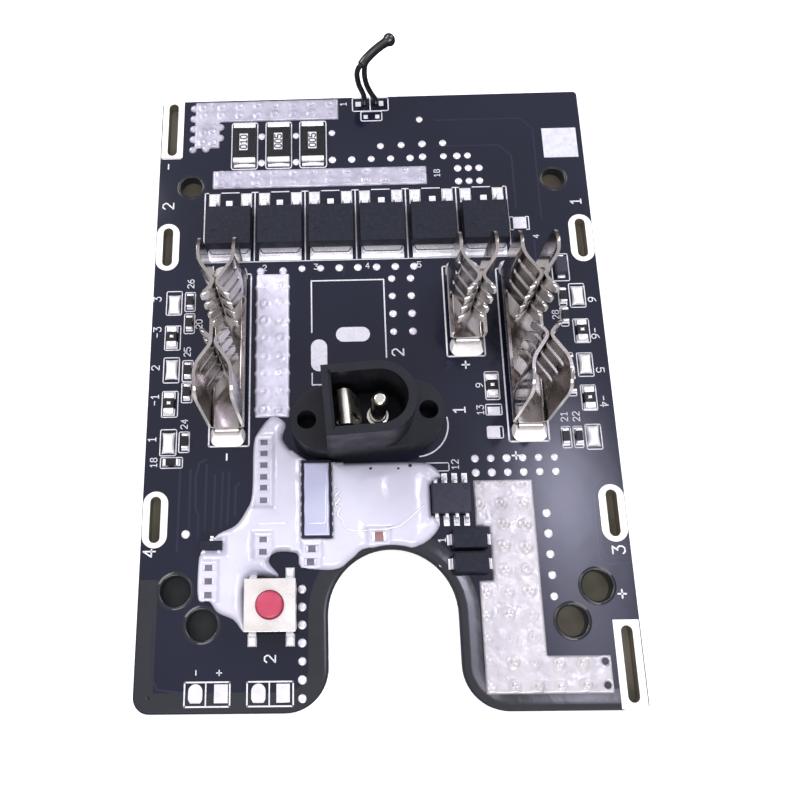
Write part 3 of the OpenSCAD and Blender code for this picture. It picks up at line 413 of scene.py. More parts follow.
STROKES = {
    "0": [[(0, .2), (0, .8), (.15, 1), (.45, 1), (.6, .8), (.6, .2), (.45, 0), (.15, 0), (0, .2)]],
    "1": [[(.1, .78), (.32, 1), (.32, 0)], [(.1, 0), (.54, 0)]],
    "2": [[(0, .8), (.15, 1), (.45, 1), (.6, .8), (.6, .62), (0, 0), (.6, 0)]],
    "3": [[(0, 1), (.6, 1), (.28, .6), (.46, .6), (.6, .44), (.6, .18), (.45, 0), (.14, 0), (0, .16)]],
    "4": [[(.44, 0), (.44, 1), (0, .32), (.6, .32)]],
    "5": [[(.57, 1), (.04, 1), (0, .56), (.42, .6), (.6, .42), (.6, .18), (.44, 0), (.14, 0), (0, .14)]],
    "6": [[(.52, 1), (.16, .8), (0, .45), (0, .18), (.15, 0), (.45, 0), (.6, .18), (.6, .4), (.45, .56),
           (.1, .52)]],
    "8": [[(.15, .55), (0, .72), (.14, 1), (.46, 1), (.6, .78), (.45, .55), (.15, .55), (0, .32), (0, .16),
           (.15, 0), (.45, 0), (.6, .16), (.6, .32), (.45, .55)]],
    "9": [[(.5, .48), (.15, .44), (0, .6), (0, .82), (.15, 1), (.45, 1), (.6, .82), (.6, .5), (.42, .14),
           (.1, 0)]],
    "+": [[(0, .5), (.6, .5)], [(.3, .8), (.3, .2)]],
    "-": [[(.05, .5), (.55, .5)]],
}


def digits(flat, word, x, y, h, turn=0, w=None):
    """Plain digits and signs, centred on x, y."""
    w = w or h * 0.13
    c, s = math.cos(math.radians(turn)), math.sin(math.radians(turn))
    total = (len(word) - 1) * 0.86 + 0.6
    for k, sign in enumerate(word):
        for stroke in STROKES[sign]:
            pts = []
            for u, v in stroke:
                du, dv = (u + 0.86 * k - total / 2) * h, (v - 0.5) * h
                pts.append((x + du * c - dv * s, y + du * s + dv * c))
            flat.line(pts, w)


def relief(name, region, inside, height, step, mat, slot, base=TOP):
    """A cast skin: a grid clipped where inside(x, y) is zero, and raised by height(x, y, d)."""
    x0, y0, x1, y1 = region
    nx, ny = int((x1 - x0) / step) + 2, int((y1 - y0) / step) + 2
    gx, gy = np.meshgrid(x0 + np.arange(nx) * step, y0 + np.arange(ny) * step, indexing="ij")
    field = inside(gx, gy)
    verts, faces, index = [], [], {}

    def vertex(key, x, y, d):
        if key not in index:
            index[key] = len(verts)
            verts.append((x, y, base + height(x, y, d)))
        return index[key]

    for i in range(nx - 1):
        for j in range(ny - 1):
            c = [(i, j), (i + 1, j), (i + 1, j + 1), (i, j + 1)]
            d = [field[p] for p in c]
            if max(d) <= 0:
                continue
            ring = []
            for k in range(4):
                a, b, da, db = c[k], c[(k + 1) % 4], d[k], d[(k + 1) % 4]
                if da > 0:
                    ring.append(vertex(a, gx[a], gy[a], da))
                if (da > 0) != (db > 0):
                    t = da / (da - db)
                    key = (a, b) if a < b else (b, a)
                    x, y = gx[a] + t * (gx[b] - gx[a]), gy[a] + t * (gy[b] - gy[a])
                    ring.append(vertex(key, x, y, 0.0))
            if len(ring) >= 3:
                faces.append(tuple(ring))
    return piece(name, verts, faces, mat, slot)


def rect_in(x, y, x0, y0, x1, y1):
    """Signed distance inside an upright rectangle (positive inside)."""
    return np.minimum(np.minimum(x - x0, x1 - x), np.minimum(y - y0, y1 - y))


def circle_in(x, y, cx, cy, r):
    """Signed distance inside a circle."""
    return r - np.hypot(x - cx, y - cy)


def shoulder(d, r):
    """Quarter-round rise from 0 to 1 over the distance r."""
    t = min(max(d / r, 0.0), 1.0)
    return math.sqrt(max(0.0, 1 - (1 - t) ** 2))


def fbm(x, y, scale, seed=0.0, octaves=3):
    """Layered noise."""
    v, a = 0.0, 1.0
    for _ in range(octaves):
        v += a * noise.noise(Vector((x * scale, y * scale, seed)))
        scale *= 2.1
        a *= 0.5
    return v


# ---- solder strips
def bumps_at(places, r=0.5, up=0.16):
    """Height of the solder that stands in rings round filled vias, given as x, y and strength."""
    def h(x, y):
        total = 0.0
        for px, py, s in places:
            q = math.hypot(x - px, y - py) / r
            if q < 2.2:
                ring = math.exp(-((q - 0.95) / 0.42) ** 2)
                dip = math.exp(-(q / 0.55) ** 2)
                total += s * (up * ring - 0.9 * up * dip)
        return total
    return h


def strip_height(t, dimple, seed, r=0.28, ripple=0.05):
    """Height of a tinned strip: a round shoulder, slow ripples and the rings of its vias."""
    foot = 0.03

    def h(x, y, d):
        e = shoulder(d, r)
        waves = ripple * fbm(x, y, 0.55, seed) + 0.4 * ripple * fbm(x, y, 2.2, seed + 5)
        return foot + e * (t - foot + waves + (dimple(x, y) if e > 0.6 else 0.0))
    return h


def via_grid(xs, ys, seed, off=0.12):
    """Places of filled vias, each a little off its grid point, with the strength of its ring."""
    rng = random.Random(seed)
    return [(x + rng.uniform(-off, off), y + rng.uniform(-off, off), rng.uniform(0.45, 1.15))
            for x in xs for y in ys]


corner_dots = [(-25.8, HALF_L - 1.3 - 1.75 * i) for i in range(5)]
corner_dots += [(-21.8, 38.1), (-21.8, 36.3), (-23.9, 34.5)]


def corner_in(x, y):
    d = np.maximum(rect_in(x, y, -25.6, 38.98, -4.5, 42.4), rect_in(x, y, -25.6, 34.6, -21.9, 39.5))
    for px, py in corner_dots:
        d = np.maximum(d, circle_in(x, y, px, py, 0.55))
    return d


def left_in(x, y):
    d = rect_in(x, y, -16.25, -6.3, -11.75, 14.3)
    for px in (-15.85, -12.18):
        for i in range(8):
            d = np.maximum(d, circle_in(x, y, px, -5.2 + 2.5 * i, 0.55))
    for px in (-15.7, -12.6):
        d = np.maximum(d, circle_in(x, y, px, 14.75, 0.55))
    return d


def output_in(x, y):
    d = np.maximum(rect_in(x, y, 11.6, -40.8, 19.1, -15.1), rect_in(x, y, 18.0, -40.8, 26.6, -36.5))
    d = np.minimum(d, -rect_in(x, y, 10.0, -27.6, 13.3, -21.0))
    for py in (-39.9, -37.2):
        d = np.minimum(d, -circle_in(x, y, 25.9, py, 0.42))
    return d


def shunts_in(x, y):
    return rect_in(x, y, -22.75, 27.85, 7.95, 30.75)


out_places = via_grid([12.2, 14.9, 17.6], [-39.94 + 2.73 * k for k in range(10)], 3)
out_places = [p for p in out_places if not (p[0] < 13.8 and -28.2 < p[1] < -20.4)]
out_places += via_grid([20.4, 23.2], [-39.94, -37.3], 4)
shunt_places = via_grid([-21.6 + 2.62 * k for k in range(12)], [28.55, 30.1], 5)
corner_places = via_grid([-24.3 + 2.65 * k for k in range(8)], [39.9, 41.5], 6)
corner_places += via_grid([-24.3, -22.9], [35.4, 37.2], 8)
left_places = via_grid([-15.0, -12.9], [-5.3 + 2.5 * k for k in range(8)], 7)
STRIP_T = 0.35
for name, node, mat, region, inside, dimple, seed, step in (
    ("solder_run_output", "strip_output", HOT_SOLDER, (11.0, -41.2, 27.0, -14.7), output_in,
     bumps_at(out_places), 11, 0.16),
    ("solder_run_shunts", "strip_shunts", REAR_SOLDER, (-23.2, 27.4, 8.4, 31.2), shunts_in,
     bumps_at(shunt_places, 0.42, 0.13), 23, 0.15),
    ("solder_run_corner", "strip_back_corner", REAR_SOLDER, (-26.8, 33.6, -4.1, 42.7), corner_in,
     bumps_at(corner_places, 0.42, 0.13), 37, 0.15),
    ("solder_run_left", "strip_left", SOLDER, (-16.7, -6.7, -11.2, 15.1), left_in,
     bumps_at(left_places, 0.5, 0.18), 53, 0.15),
):
    skin = relief(name, region, inside, strip_height(STRIP_T, dimple, seed), step, mat, "tinned_copper")
    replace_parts(skin, node)


# ---- domed vias
# x, y, step in x, step in y, number
VIA_ROWS = (
    (-9.98, 15.05, 2.58, 0, 7), (2.35, 13.25, 0, -2.61, 4), (4.94, 13.25, 0, -2.61, 4),
    (12.07, -12.25, 2.03, 0, 6), (12.07, -14.1, 2.03, 0, 2), (16.13, -14.1, 2.03, 0, 4),
    (20.57, -19.4, 0, -2.55, 5), (-10.2, -28.35, 0, -2.12, 7), (1.5, 34.3, 3, 0.08, 4),
    (-5.5, 32.2, 2.8, 0, 5), (12.42, 32.35, 1.52, 0, 2), (12.42, 30.3, 1.52, 0, 3),
    (12.42, 28.2, 1.5, 0, 3), (7.5, 32.35, 3, 0, 2),
)
via_places = [(x + dx * i, y + dy * i) for x, y, dx, dy, n in VIA_ROWS for i in range(n)]
via_places += [
    (-15.75, 36.4), (-10.75, 36.4), (-15.75, 32), (-10.75, 32), (-5.5, 36.7), (7.3, 38.6),
    (-24.85, -21.4), (7.55, 34.5),
]


def domes(name, places, mat, slot, r=0.52, h=0.2, z=TOP):
    """Small solder domes: rings of a rounded cap, each a little different."""
    rng = random.Random(len(places))
    verts, faces = [], []
    n, rings = 16, 5
    for px, py in places:
        rr, hh = r * rng.uniform(0.93, 1.06), h * rng.uniform(0.8, 1.15)
        tilt, ta = rng.uniform(0, 0.25), rng.uniform(0, 6.28)
        start = len(verts)
        for k in range(rings):
            a = k / rings * math.pi / 2
            for i in range(n):
                t = 2 * math.pi * i / n
                q = rr * math.cos(a)
                zz = hh * math.sin(a) * (1 + tilt * math.cos(t - ta) * math.cos(a))
                verts.append((px + q * math.cos(t), py + q * math.sin(t), z + zz))
        verts.append((px, py, z + hh))
        faces += bands(start, rings, n)
        last = start + (rings - 1) * n
        for i in range(n):
            faces.append((last + i, last + (i + 1) % n, start + rings * n))
    return piece(name, verts, faces, mat, slot)


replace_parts(domes("via_domes", via_places, SOLDER_FLAT, "tinned_copper"), "via_caps")


# ---- potting
def between(a, b, c, d, t):
    """Point at t on the smooth curve from b to c, with a before and d after them."""
    square = (2 * a - 5 * b + 4 * c - d) * t * t
    return 0.5 * (2 * b + (c - a) * t + square + (3 * b - 3 * c + d - a) * t ** 3)


def smooth_loop(p, n):
    """Closed smooth curve through the points."""
    out = []
    m = len(p)
    for i in range(m):
        a, b, c, d = (np.array(p[(i + k) % m], float) for k in (-1, 0, 1, 2))
        out += [between(a, b, c, d, k / n) for k in range(n)]
    return np.array(out)


POTTING = [
    (-12.2, -7.2), (-13.6, -6.2), (-14.6, -6.6), (-15.8, -8.2), (-16.4, -10), (-16.5, -16.4),
    (-17.3, -18.6), (-18.6, -20.4), (-20.8, -21.5), (-22.7, -23.7), (-23.1, -25), (-23, -29.4),
    (-21.6, -29.7), (-20.6, -31), (-18.6, -31.9), (-17.1, -33.2), (-17.1, -27.1), (-13.1, -26.9),
    (-14.3, -25), (-13.4, -23.8), (-10.8, -24), (-10.4, -25.6), (-8, -26), (-5.6, -25.9), (-3.8, -24.6),
    (-1.9, -23.4), (4, -23.4), (7, -21.1), (6.4, -19.2), (6.5, -15.5), (7.6, -14.6), (6.7, -13.2),
    (4.4, -12.6), (-5, -12.6), (-8.6, -12.6), (-11, -11.2), (-12.6, -9.2),
]
loop = smooth_loop(POTTING, 4)


def loop_in(x, y, pts):
    """Signed distance to a closed loop, positive inside."""
    best = np.full(x.shape, 1e9)
    odd = np.zeros(x.shape, bool)
    for a, b in zip(pts, np.roll(pts, -1, axis=0)):
        e = b - a
        t = np.clip(((x - a[0]) * e[0] + (y - a[1]) * e[1]) / (e @ e + 1e-12), 0, 1)
        best = np.minimum(best, np.hypot(x - a[0] - t * e[0], y - a[1] - t * e[1]))
        cross = (a[1] > y) != (b[1] > y)
        with np.errstate(divide="ignore", invalid="ignore"):
            xi = a[0] + (y - a[1]) / (b[1] - a[1]) * e[0]
        odd ^= cross & (x < xi)
    return np.where(odd, best, -best)


def jack_local(x, y):
    """A board place in the jack's own directions."""
    c, s = math.cos(JACK[2]), math.sin(JACK[2])
    dx, dy = x - JACK[0], y - JACK[1]
    return dx * c + dy * s, -dx * s + dy * c


def jack_in(x, y):
    """Signed distance inside the jack's foot."""
    u, v = jack_local(x, y)
    d = rect_in(u, v, -5.5, -4.35, 5.5, 4.35)
    return np.maximum(np.maximum(d, circle_in(u, v, -5.5, 0, 4.2)), circle_in(u, v, 5.5, 0, 4.2))


CHIP = (-10.2, -22.25, -6.3, -12.35)
# chips that show through the silicone: x, y and half sizes
parts_out = [(-15.0, y, 0.7, 0.36) for y in (-9.76, -11.23, -12.76, -14.3, -15.7, -17.32, -22.26, -23.79)]
parts_out += [(-21.75, y, 0.72, 0.38) for y in (-25.66, -27.3, -28.96)]
parts_out += [(-8.92, -23.5, 0.8, 0.43), (-9.1, -25.1, 0.8, 0.43)]
parts_out += [(-0.53, -22.1, 0.9, 0.55), (-21.45, -22.95, 1.35, 0.6)]


def gel_in(x, y):
    """Signed distance inside the silicone, which stops at the jack, the switch and the chips."""
    d = loop_in(x, y, loop)
    d = np.minimum(d, np.hypot(x - NOTCH[0], y - NOTCH[1]) - NOTCH[2] - 0.4)
    d = np.minimum(d, -jack_in(x, y) - 0.01)
    d = np.minimum(d, -rect_in(x, y, -17.05, -33.55, -10.75, -27.25))
    d = np.minimum(d, -rect_in(x, y, 6.15, -19.5, 11.1, -15.5))
    d = np.minimum(d, -rect_in(x, y, *CHIP))
    for px, py, hw, hl in parts_out:
        d = np.minimum(d, -rect_in(x, y, px - hw, py - hl, px + hw, py + hl))
    return d


def gel_height(x, y, d):
    """Thickness of the silicone, which climbs the controller and sinks round the small chips."""
    h = 0.62 + 0.55 * shoulder(d, 2.4) + 0.10 * fbm(x, y, 0.3, 9, 2)
    edge = shoulder(d, 0.7)
    near = min(max(abs(x + 8.25) - 1.95, abs(y + 17.3) - 4.95), 9)
    if near < 1.5:
        edge = max(edge, 0.96)
        h += 0.2 * math.exp(-(max(near, 0) / 0.6) ** 2)
    for px, py, hw, hl in parts_out:
        q = max(abs(x - px) - hw, abs(y - py) - hl)
        if q < 0.9:
            t = max(q, 0.0) / 0.9
            h = min(h, 0.56 + (h - 0.56) * t * t * (3 - 2 * t))
            if q < 0.35:
                edge = max(edge, 0.93)
    return 0.02 + edge * h


gel = relief("silicone_gel", (-23.6, -33.9, 8.2, -5.6), gel_in, gel_height, 0.14, GEL, "silicone")
FILM_T = 0.14


def film_in(x, y):
    return rect_in(x, y, -9.78, -21.98, -6.68, -12.85) - 0.02 * np.sin(2.1 * y)


def film_height(x, y, d):
    return 0.015 + FILM_T * shoulder(d, 0.3) + 0.02 * fbm(x, y, 0.5, 4)


film = relief("silicone_film", (-10.2, -22.4, -6.2, -12.3), film_in, film_height, 0.1, FILM, "silicone",
              base=CONTROLLER_TOP)
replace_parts(gel, "potting")
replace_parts(film, "potting")


# ---- temperature sensor
def tube_mesh(pts, radii, sides):
    """Vertices and faces of a tube through points, with its own radius at each and closed ends."""
    p = [Vector(q) for q in pts]
    verts = []
    ref = Vector((0, 0, 1))
    for i, c in enumerate(p):
        t = (p[min(i + 1, len(p) - 1)] - p[max(i - 1, 0)]).normalized()
        u = t.cross(ref)
        u = (u if u.length > 1e-3 else t.cross(Vector((1, 0, 0)))).normalized()
        w = t.cross(u)
        ref = u.cross(t)
        for k in range(sides):
            a = 2 * math.pi * k / sides
            verts.append(tuple(c + (u * math.cos(a) + w * math.sin(a)) * radii[i]))
    faces = bands(0, len(p), sides)
    faces.append(tuple(range(sides))[::-1])
    faces.append(tuple(range((len(p) - 1) * sides, len(p) * sides)))
    return verts, faces


def tube(name, pts, radii, mat, slot, sides=14):
    """A round tube as a piece of its own."""
    return piece(name, *tube_mesh(pts, radii, sides), mat, slot)


def spline(points, n=8):
    """Open smooth curve through the points."""
    out = []
    for i in range(len(points) - 1):
        a, b = Vector(points[max(i - 1, 0)]), Vector(points[i])
        c, d = Vector(points[i + 1]), Vector(points[min(i + 2, len(points) - 1)])
        out += [between(a, b, c, d, k / n) for k in range(n)]
    out.append(Vector(points[-1]))
    return out


LEAD_R = 0.38
LEADS = (
    ("sensor_lead_a", ((-0.62, 41.35, 0), (-0.62, 41.9, 0.55), (-0.86, 42.28, 1.5), (-1.48, 42.4, 3.4),
                       (-1.78, 42.65, 5.4), (-1.5, 42.85, 6.6), (-1.05, 43.05, 7.0))),
    ("sensor_lead_b", ((1.05, 41.5, 0), (0.95, 41.95, 0.5), (0.4, 42.2, 1.4), (-0.32, 42.2, 3.4),
                       (-0.69, 42.4, 5.2), (-0.72, 42.75, 6.5), (-0.6, 43.1, 7.0))),
)
for name, route in LEADS:
    line = spline([(x, y, TOP + h) for x, y, h in route])
    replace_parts(tube(name, line, [LEAD_R] * len(line), SLEEVE, "wire_sleeve"), "sensor_leads")
SENSOR = ((-1.15, 42.8, 6.85), (-0.7, 43.45, 7.15), (0.25, 44.45, 7.4), (1.42, 45.5, 7.5), (2.25, 46.15, 7.5),
          (2.8, 46.6, 7.5), (3.4, 47.1, 7.5))
body_line = spline([(x, y, TOP + h) for x, y, h in SENSOR])
BALL = 40  # index of the bead's middle on the line
BALL_R = 0.94
body_r = []
for i in range(len(body_line)):
    swell = (i - BALL) / 8
    r = 0.7 - 0.06 * math.sin(math.pi * i / BALL) + 0.24 * math.exp(-((swell + 0.05) / 0.55) ** 2)
    if swell > 0:
        r = BALL_R * math.sqrt(max(0.0, 1 - swell ** 2))
    body_r.append(max(r * min(1.0, 0.55 + 0.15 * i), 0.03))
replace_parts(tube("sensor_body", body_line, body_r, BEAD, "sensor_epoxy", 18), "sensor_bead")


# ---- lacquer, copper under the mask
def lips(name, places, mat, slot, n=56):
    """Lacquer that lines a drilled hole and stands up round it: x, y, inner and outer radius, height."""
    verts, faces = [], []
    for x, y, r0, r1, up in places:
        start = len(verts)
        profile = [(r0, -TOP + 0.02), (r0, -0.2), (r0 + 0.03, -0.06), (r0 + 0.1, 0.03), (r0 + 0.2, up),
                   (r0 + 0.3, up * 0.96), (r1 - 0.18, up * 0.6), (r1 - 0.08, up * 0.25), (r1, 0.004)]
        for r, z in profile:
            for i in range(n):
                a = 2 * math.pi * i / n
                verts.append((x + r * math.cos(a), y + r * math.sin(a), TOP + z))
        faces += [(a, d, c, b) for a, b, c, d in bands(start, len(profile), n)]
    return piece(name, verts, faces, mat, slot)


FRONT_HOLES = ((25.9, -28.4), (-25.9, -28.4), (22.5, -32.5), (-22.5, -32.5))
front_rims = [(x, y, 1.8, 2.34, 0.1) for x, y in FRONT_HOLES]
rear_rims = [(x, 28.3, 1.54, 2.0, 0.03) for x in (-25.8, 25.8)]
lips("lacquer_rims", front_rims + rear_rims, LACQUER, "solder_mask")


def sweep(name, path, profile, mat, slot):
    """A ribbon along points with their inward directions; profile lists distance in and height (mm)."""
    verts, faces = [], []
    m = len(profile)
    for (x, y), (nx, ny) in path:
        verts += [(x + nx * d, y + ny * d, TOP + h) for d, h in profile]
    for i in range(len(path) - 1):
        for k in range(m - 1):
            a = i * m + k
            faces.append((a, a + 1, a + m + 1, a + m))
    o = piece(name, verts, faces, mat, slot)
    bm = bmesh.new()
    bm.from_mesh(o.data)
    if sum(f.normal.z for f in bm.faces) < 0:
        bmesh.ops.reverse_faces(bm, faces=bm.faces)
    bm.to_mesh(o.data)
    bm.free()
    return o


def turn(cx, cy, r, a0, a1, inward, n=16):
    """Arc points with directions into the board: towards the centre (1) or away from it (-1)."""
    out = []
    for i in range(n + 1):
        a = math.radians(a0 + (a1 - a0) * i / n)
        c, s = math.cos(a), math.sin(a)
        out.append(((cx + r * c, cy + r * s), (-inward * c, -inward * s)))
    return out


LIP_R = 5.2
notch_x, notch_y, notch_r = NOTCH
rim_path = [((-30.5, -27.0), (1, 0))] + turn(-28.5, -40.7, 2.0, 180, 270, 1)
rim_path += turn(notch_x - notch_r - LIP_R, -HALF_L + LIP_R, LIP_R, 270, 360, 1)
rim_path += turn(notch_x, notch_y, notch_r, 180, 0, -1, 40)
rim_path += turn(notch_x + notch_r + LIP_R, -HALF_L + LIP_R, LIP_R, 180, 270, 1)
rim_path += [((27.4, -HALF_L), (0, 1))]
ROLL = ((0.16, 0), (0.3, 0.03), (0.55, 0.065), (0.8, 0.075), (1.1, 0.06), (1.5, 0.03), (2.0, 0.008), (2.4, 0))
sweep("lacquer_edge", rim_path, ROLL, LACQUER, "solder_mask")

copper = Flat(TOP + 0.012)
for pts, w in (
    ([(-25.82, -12.8), (-25.85, -17.7), (-25.88, -23.6)], 0.3), ([(-24.5, -13.1), (-24.45, -20.6)], 0.3),
    ([(-22.6, -11.84), (-23.38, -12.24), (-23.81, -14.17), (-23.68, -18.26), (-23.3, -18.93),
       (-23.3, -21.9)], 0.3), ([(-22.42, -12.5), (-22.44, -20.9)], 0.3),
    ([(-21.29, -13.9), (-21.38, -20.96)], 0.3), ([(-20.29, -13.5), (-20.45, -20.7)], 0.3),
    ([(-19.48, -13.5), (-19.58, -20.2)], 0.3), ([(-18.15, -14.95), (-18.6, -15.4), (-18.67, -19.1)], 0.3),
    ([(-28.8, -27.1), (-28.3, -38.6), (-27.6, -39.9), (-24.5, -40.3)], 0.25),
    ([(-29.5, -27.1), (-29.4, -39.3)], 0.22),
    ([(30.2, -15.1), (27.7, -15.2), (26.8, -16.2), (26.6, -20.1), (26.5, -24.9), (27.4, -25.8),
       (30.2, -25.7)], 0.22),
    ([(27.1, -16.2), (27.0, -20.1), (26.9, -24.0), (27.4, -25.0), (30.2, -25.1)], 0.16),
    ([(18.9, 12.0), (22.3, 15.4), (22.3, 18.6)], 0.25),
    ([(10.9, -14.6), (10.4, -15.2), (10.4, -21.4)], 0.2), ([(-4.2, 14.0), (-4.2, 16.0)], 0.25),
    ([(9.6, 34.0), (18.4, 34.0), (20.2, 32.2), (20.2, 23.6)], 0.25),
    ([(9.6, 38.4), (21.8, 38.4), (23.6, 36.6), (23.6, 22.0)], 0.25),
    ([(-14.6, 25.4), (-14.6, 27.4)], 0.2),
):
    copper.line(pts, w)
copper.lay("copper_traces", TRACE, "solder_mask")


def slot_lining(name, places, mat, slot, w=1.36, n=12):
    """Thin inner skin of the routed slots."""
    verts, faces = [], []
    for x, y, length in places:
        start, ring = len(verts), []
        for cy, a0 in ((y + (length - w) / 2, 0), (y - (length - w) / 2, 180)):
            for i in range(n + 1):
                a = math.radians(a0 + 180 * i / n)
                ring.append((x + w / 2 * math.cos(a), cy + w / 2 * math.sin(a)))
        verts += [(px, py, 0.03) for px, py in ring] + [(px, py, TOP - 0.02) for px, py in ring]
        faces += [(b, a, d, c) for a, b, c, d in bands(start, 2, len(ring))]
    return piece(name, verts, faces, mat, slot)


slot_lining("slot_walls", [(x, y, 5.86) for x in (-28.8, 28.8) for y in (18.8, -19.5)]
            + [(-28.8, HALF_L - 4.8, 8.76), (28.8, -HALF_L + 5.2, 8.76)], BARE, "solder_mask")

# ---- silkscreen
silk = Flat()
# transistor outlines
SILK_X0, SILK_PITCH = -23.75, 7.13
REAR_Y, FRONT_Y = 27.2, 16.25
last_x = SILK_X0 + 6 * SILK_PITCH
for k in range(7):
    x = SILK_X0 + SILK_PITCH * k
    silk.line([(x, 16.3), (x, REAR_Y)], 0.17)
    silk.line([(max(x - 0.45, SILK_X0), REAR_Y), (min(x + 0.45, last_x), REAR_Y)], 0.15)
silk.line([(SILK_X0, FRONT_Y), (last_x, FRONT_Y)], 0.12)
for k in range(6):
    x = SILK_X0 + SILK_PITCH * k
    silk.line([(x + 2.35, REAR_Y), (x + 4.85, REAR_Y)], 0.15)
    digits(silk, str(k + 1), x + 1.45, 15.3, 0.8)
# shunt outlines
for x0, x1 in ((-20.1, -16.35), (-15.13, -11.4), (-10.2, -6.35)):
    silk.box(x0, 31.02, x1, 38.78, 0.15, 0.35)
# terminal frames
silk.box(-22.25, -10.1, -17.0, 14.4, 0.2)
silk.box(16.65, -10.1, 21.8, 14.4, 0.2)
silk.box(9.35, 1.7, 14.4, 14.9, 0.2)
# capacitor place
silk.line([(-8.7, 5.54), (-8.7, 13.15), (1.24, 13.15), (1.25, 1.77)], 0.18)
silk.line([(-8.7, -0.3), (-8.7, -1.9), (-7.3, -1.9)], 0.18)
# tab slot lands
for x0, y0, x1, y1 in ((-30.3, 33.05, -27.4, 42.6), (27.35, -42.6, 30.3, -32.5)):
    silk.box(x0, y0, x1, y1, 0.16, 0.1)
# jack arc
silk.arc(4.6, -7.6, 4.3, -84, 12, 0.18)
# test pads and links by the switch
PRINT_Z = silk.z
silk.z = TOP + 0.1  # clear of the lacquer along the edge
silk.box(-24.3, -41.87, -18.87, -39.1, 0.18, 0.1)
silk.line([(-21.75, -41.87), (-21.75, -39.1)], 0.16)
silk.box(-16.8, -41.87, -11.3, -39.1, 0.18, 0.1)
silk.line([(-14.15, -41.87), (-14.15, -39.1)], 0.16)
silk.z = PRINT_Z
# sensor pads
silk.box(-2.4, 40.3, 2.85, 42.55, 0.16)
silk.line([(0.2, 40.3), (0.2, 42.55)], 0.16)
silk.box(-1.2, 38.6, 1.86, 40.2, 0.14)
# left and right columns
for x0, y0, x1, y1 in (
    (-28.6, 8.5, -26.5, 12.0), (-28.6, 3.4, -26.5, 6.9), (-28.6, -1.25, -26.5, 2.3),
    (-28.6, -6.0, -26.5, -2.45), (-28.6, -11.2, -26.5, -7.7), (-26.05, 9.0, -24.65, 11.8),
    (-26.05, 5.75, -24.65, 8.65), (-26.05, -1.1, -24.65, 1.85), (-26.05, -4.05, -24.65, -1.3),
    (-26.15, -10.8, -24.8, -8.05), (-28.45, -12.85, -25.6, -11.45), (26.33, 8.4, 28.4, 11.88),
    (26.4, 3.3, 28.48, 6.7), (26.4, -1.45, 28.42, 1.83), (26.45, -6.1, 28.4, -2.65),
    (26.5, -11.3, 28.48, -8.0), (24.85, 8.6, 25.85, 11.3), (24.85, 5.7, 25.85, 8.5),
    (24.75, -1.1, 25.9, 1.9), (24.75, -4.1, 25.9, -1.2), (23.44, -11.05, 24.6, -8.22),
    (24.95, -11.05, 26.1, -8.22), (24.33, 12.36, 26.6, 16.4), (14.05, -4.4, 15.88, -0.55),
    (13.92, -6.5, 16.0, -5.05), (13.92, -9.6, 15.95, -8.05), (5.65, -13.8, 8.7, -12.75),
    (-10.3, -25.7, -8.3, -24.6),
):
    silk.box(x0, y0, x1, y1, 0.13, 0.18)
silk.line([(19.6, 20.3), (19.14, 20.3), (19.14, 22.3), (19.6, 22.3)], 0.14)
silk.line([(21.4, 20.3), (21.79, 20.3), (21.79, 22.3), (21.4, 22.3)], 0.14)
# cell tap and output labels: plain digits and signs
LABELS = {  # letter height and angle: sign, x, y
    (1.5, 90): (
        ("-", -29.25, 31.75), ("2", -29.0, 25.3), ("4", -29.35, -23.7), ("3", 29.0, -24.1),
        ("1", 10.45, -5.75), ("2", 2.8, 2.45)
    ),
    (1.45, 90): (
        ("1", 28.6, 24.5),
    ),
    (1.6, 90): (
        ("+", 28.8, -29.4), ("-", -19.86, -11.5), ("+", 11.7, 0.5)
    ),
    (1.6, 0): (
        ("+", 17.35, -11.95),
    ),
    (1.3, 90): (
        ("2", -14.1, -36.5),
    ),
    (1.0, 90): (
        ("-", -23.0, -38.0), ("+", -20.2, -38.05), ("3", -29.9, 10.9), ("-3", -29.7, 6.0),
        ("2", -29.7, 0.9), ("-1", -29.6, -3.6), ("1", -29.7, -9.0)
    ),
    (1.0, -90): (
        ("6", 29.3, 9.5), ("-6", 29.2, 4.6), ("5", 29.3, -0.6), ("-4", 29.3, -4.9)
    ),
    (0.85, 90): (
        ("26", -25.35, 13.1), ("20", -24.05, 7.1), ("25", -25.5, 3.1), ("24", -25.55, -7.0),
        ("18", -29.35, -12.1), ("21", 23.95, -6.9), ("22", 25.5, -6.9), ("28", 24.2, 7.4),
        ("9", 13.3, -2.4), ("13", 13.2, -5.8), ("12", 9.5, -13.0), ("2", 23.6, 14.4)
    ),
    (0.8, 90): (
        ("18", 9.4, 29.6), ("4", 22.6, 19.2)
    ),
    (0.9, 90): (
        ("1", -3.75, 41.6), ("1", 7.3, -22.6), ("2", 7.3, -25.6)
    ),
}
for (h, angle), labels in LABELS.items():
    for word, x, y in labels:
        digits(silk, word, x, y, h, angle)
silk.lay("silkscreen", SILK, "tinned_copper")

